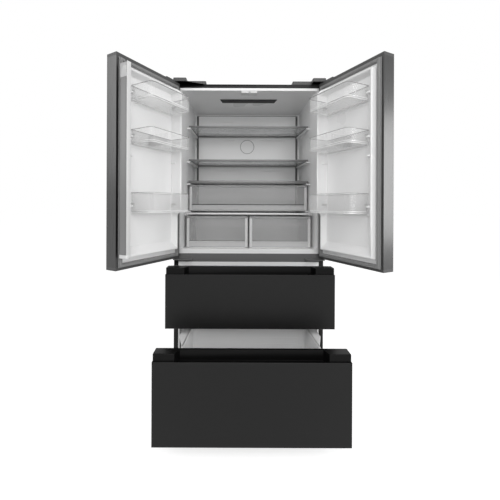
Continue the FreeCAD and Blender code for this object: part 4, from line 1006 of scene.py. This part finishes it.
def ductTrim():
    v = ductValues
    (_, yFace, zLow), (xHigh, yBack, zHigh) = nodeBox("duct_panel")
    y1 = yBack - v["behind"]
    y0 = y1 - v["deep"]
    side0 = xHigh + v["gap"]
    side1, topLow = side0 + v["seal"], zHigh + v["topGap"]
    # the side and top strips are painted shade standing in for the channels' shadow
    parts = [plate(a, b, y0, y1, zLow + v["up"], zHigh, roomPoint, v["corner"])
             for a, b in ((side0, side1), (-side1, -side0))]
    parts.append(plate(-side1, side1, y0, y1, topLow, topLow + v["topHigh"], roomPoint,
                       v["corner"]))
    # ring: x = r cos t, z = ringZ + r sin t, for two radii and two depths
    t = np.linspace(0, 2 * math.pi, 73)[:-1]
    inside, outside = v["ring"], v["ring"] + v["line"]
    front, back = yFace - v["ringProud"], yFace + v["ringSunk"]
    grid = np.stack([roomPoint(r * np.cos(t), y, v["ringZ"] + r * np.sin(t)) for r, y in
                     ((inside, front), (outside, front), (outside, back), (inside, back))])
    parts.append((grid, gridFaces(4, len(t), wrapRows=True, wrapCols=True)))
    piece("duct_panel_trim", parts, ductShadeAndRing, nodes["duct_panel"]["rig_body"],
          sharp=40)


ductTrim()


# Camera, as the photograph was framed

cameraValues = {"place": (-60.9, -1784.6, 1065.0), "lens": 22.30, "roll": 0.0042,
                "shiftX": 0.02406, "shiftY": -0.08906}
cameraData = bpy.data.cameras.new("camera")
camera = bpy.data.objects.new("camera", cameraData)
bpy.context.scene.collection.objects.link(camera)
camera.location = [c * mm for c in cameraValues["place"]]
camera.rotation_euler = (math.pi / 2, -cameraValues["roll"], 0.0)
cameraData.lens = cameraValues["lens"]
cameraData.sensor_width = 36.0
cameraData.shift_x = cameraValues["shiftX"]
cameraData.shift_y = cameraValues["shiftY"]
bpy.context.scene.camera = camera
bpy.context.scene.view_settings.view_transform = "Standard"


# Floor, backdrop and lights

stageValues = {"floorHalf": 30.0, "floorGrey": 0.62, "floorCloud": 1.4, "floorGlow": 0.66,
               "world": 0.55}


def straightRays(tree):
    # 1 for rays seen by the camera, in gloss or through glass
    path = linked(tree, "ShaderNodeLightPath")
    found = path.outputs["Is Camera Ray"]
    for label in ("Is Glossy Ray", "Is Transmission Ray"):
        either = linked(tree, "ShaderNodeMath", operation="MAXIMUM")
        tree.links.new(found, either.inputs[0])
        tree.links.new(path.outputs[label], either.inputs[1])
        found = either.outputs[0]
    return found


floorMaterial = bpy.data.materials.new("studio floor")
floorMaterial.use_nodes = True
tree = floorMaterial.node_tree
tree.nodes.clear()
out = linked(tree, "ShaderNodeOutputMaterial")
diffuse = linked(tree, "ShaderNodeBsdfDiffuse")
glow = linked(tree, "ShaderNodeEmission")
total = linked(tree, "ShaderNodeAddShader")
grain = linked(tree, "ShaderNodeTexNoise")
coord = linked(tree, "ShaderNodeTexCoord")
grain.inputs["Scale"].default_value = stageValues["floorCloud"]
tree.links.new(coord.outputs["Object"], grain.inputs["Vector"])
g = stageValues["floorGrey"]
colourBetween(tree, grain.outputs["Fac"], grey(g - 0.01), grey(g + 0.01),
              diffuse.inputs["Color"])
seen = straightRays(tree)
glowing = linked(tree, "ShaderNodeMath", operation="MULTIPLY")
tree.links.new(seen, glowing.inputs[0])
glowing.inputs[1].default_value = stageValues["floorGlow"]
tree.links.new(glowing.outputs[0], glow.inputs["Strength"])
tree.links.new(diffuse.outputs[0], total.inputs[0])
tree.links.new(glow.outputs[0], total.inputs[1])
tree.links.new(total.outputs[0], out.inputs["Surface"])
h = stageValues["floorHalf"]
corner = np.array([(-h, -h), (h, -h), (h, h), (-h, h)])
floorMesh = bpy.data.meshes.new("studio_floor")
floorMesh.from_pydata([(x, y, 0.0) for x, y in corner.tolist()], [], [(0, 1, 2, 3)])
floorMesh.materials.append(floorMaterial)
floor = bpy.data.objects.new("studio_floor", floorMesh)
bpy.context.scene.collection.objects.link(floor)

world = bpy.context.scene.world or bpy.data.worlds.new("studio")
bpy.context.scene.world = world
world.use_nodes = True
tree = world.node_tree
tree.nodes.clear()
out = linked(tree, "ShaderNodeOutputWorld")
back = linked(tree, "ShaderNodeBackground")
back.inputs["Color"].default_value = (1.0, 1.0, 1.0, 1.0)
strength = linked(tree, "ShaderNodeMapRange")
tree.links.new(straightRays(tree), strength.inputs["Value"])
strength.inputs["To Min"].default_value = stageValues["world"]
strength.inputs["To Max"].default_value = 1.0
tree.links.new(strength.outputs[0], back.inputs["Strength"])
tree.links.new(back.outputs[0], out.inputs["Surface"])

lampValues = {
    "front_box": {"place": (0.2, -3.4, 2.5), "aim": (0.0, 0.0, 1.0), "size": 2.4,
                  "power": 60.0},
    "left_box": {"place": (-3.0, -1.6, 2.3), "aim": (0.0, -0.2, 1.1), "size": 1.8,
                 "power": 22.0},
    "right_box": {"place": (3.2, -1.4, 1.4), "aim": (0.0, -0.2, 1.0), "size": 1.6,
                  "power": 42.0},
}
for name, lampSet in lampValues.items():
    data = bpy.data.lights.new(name, "AREA")
    data.shape = "SQUARE"
    data.size = lampSet["size"]
    data.energy = lampSet["power"]
    ob = bpy.data.objects.new(name, data)
    bpy.context.scene.collection.objects.link(ob)
    ob.location = lampSet["place"]
    aim = np.array(lampSet["aim"]) - np.array(lampSet["place"])
    turn = Vector(aim.tolist()).to_track_quat("-Z", "Y")
    ob.rotation_euler = turn.to_euler()
print("camera, floor and lights made")
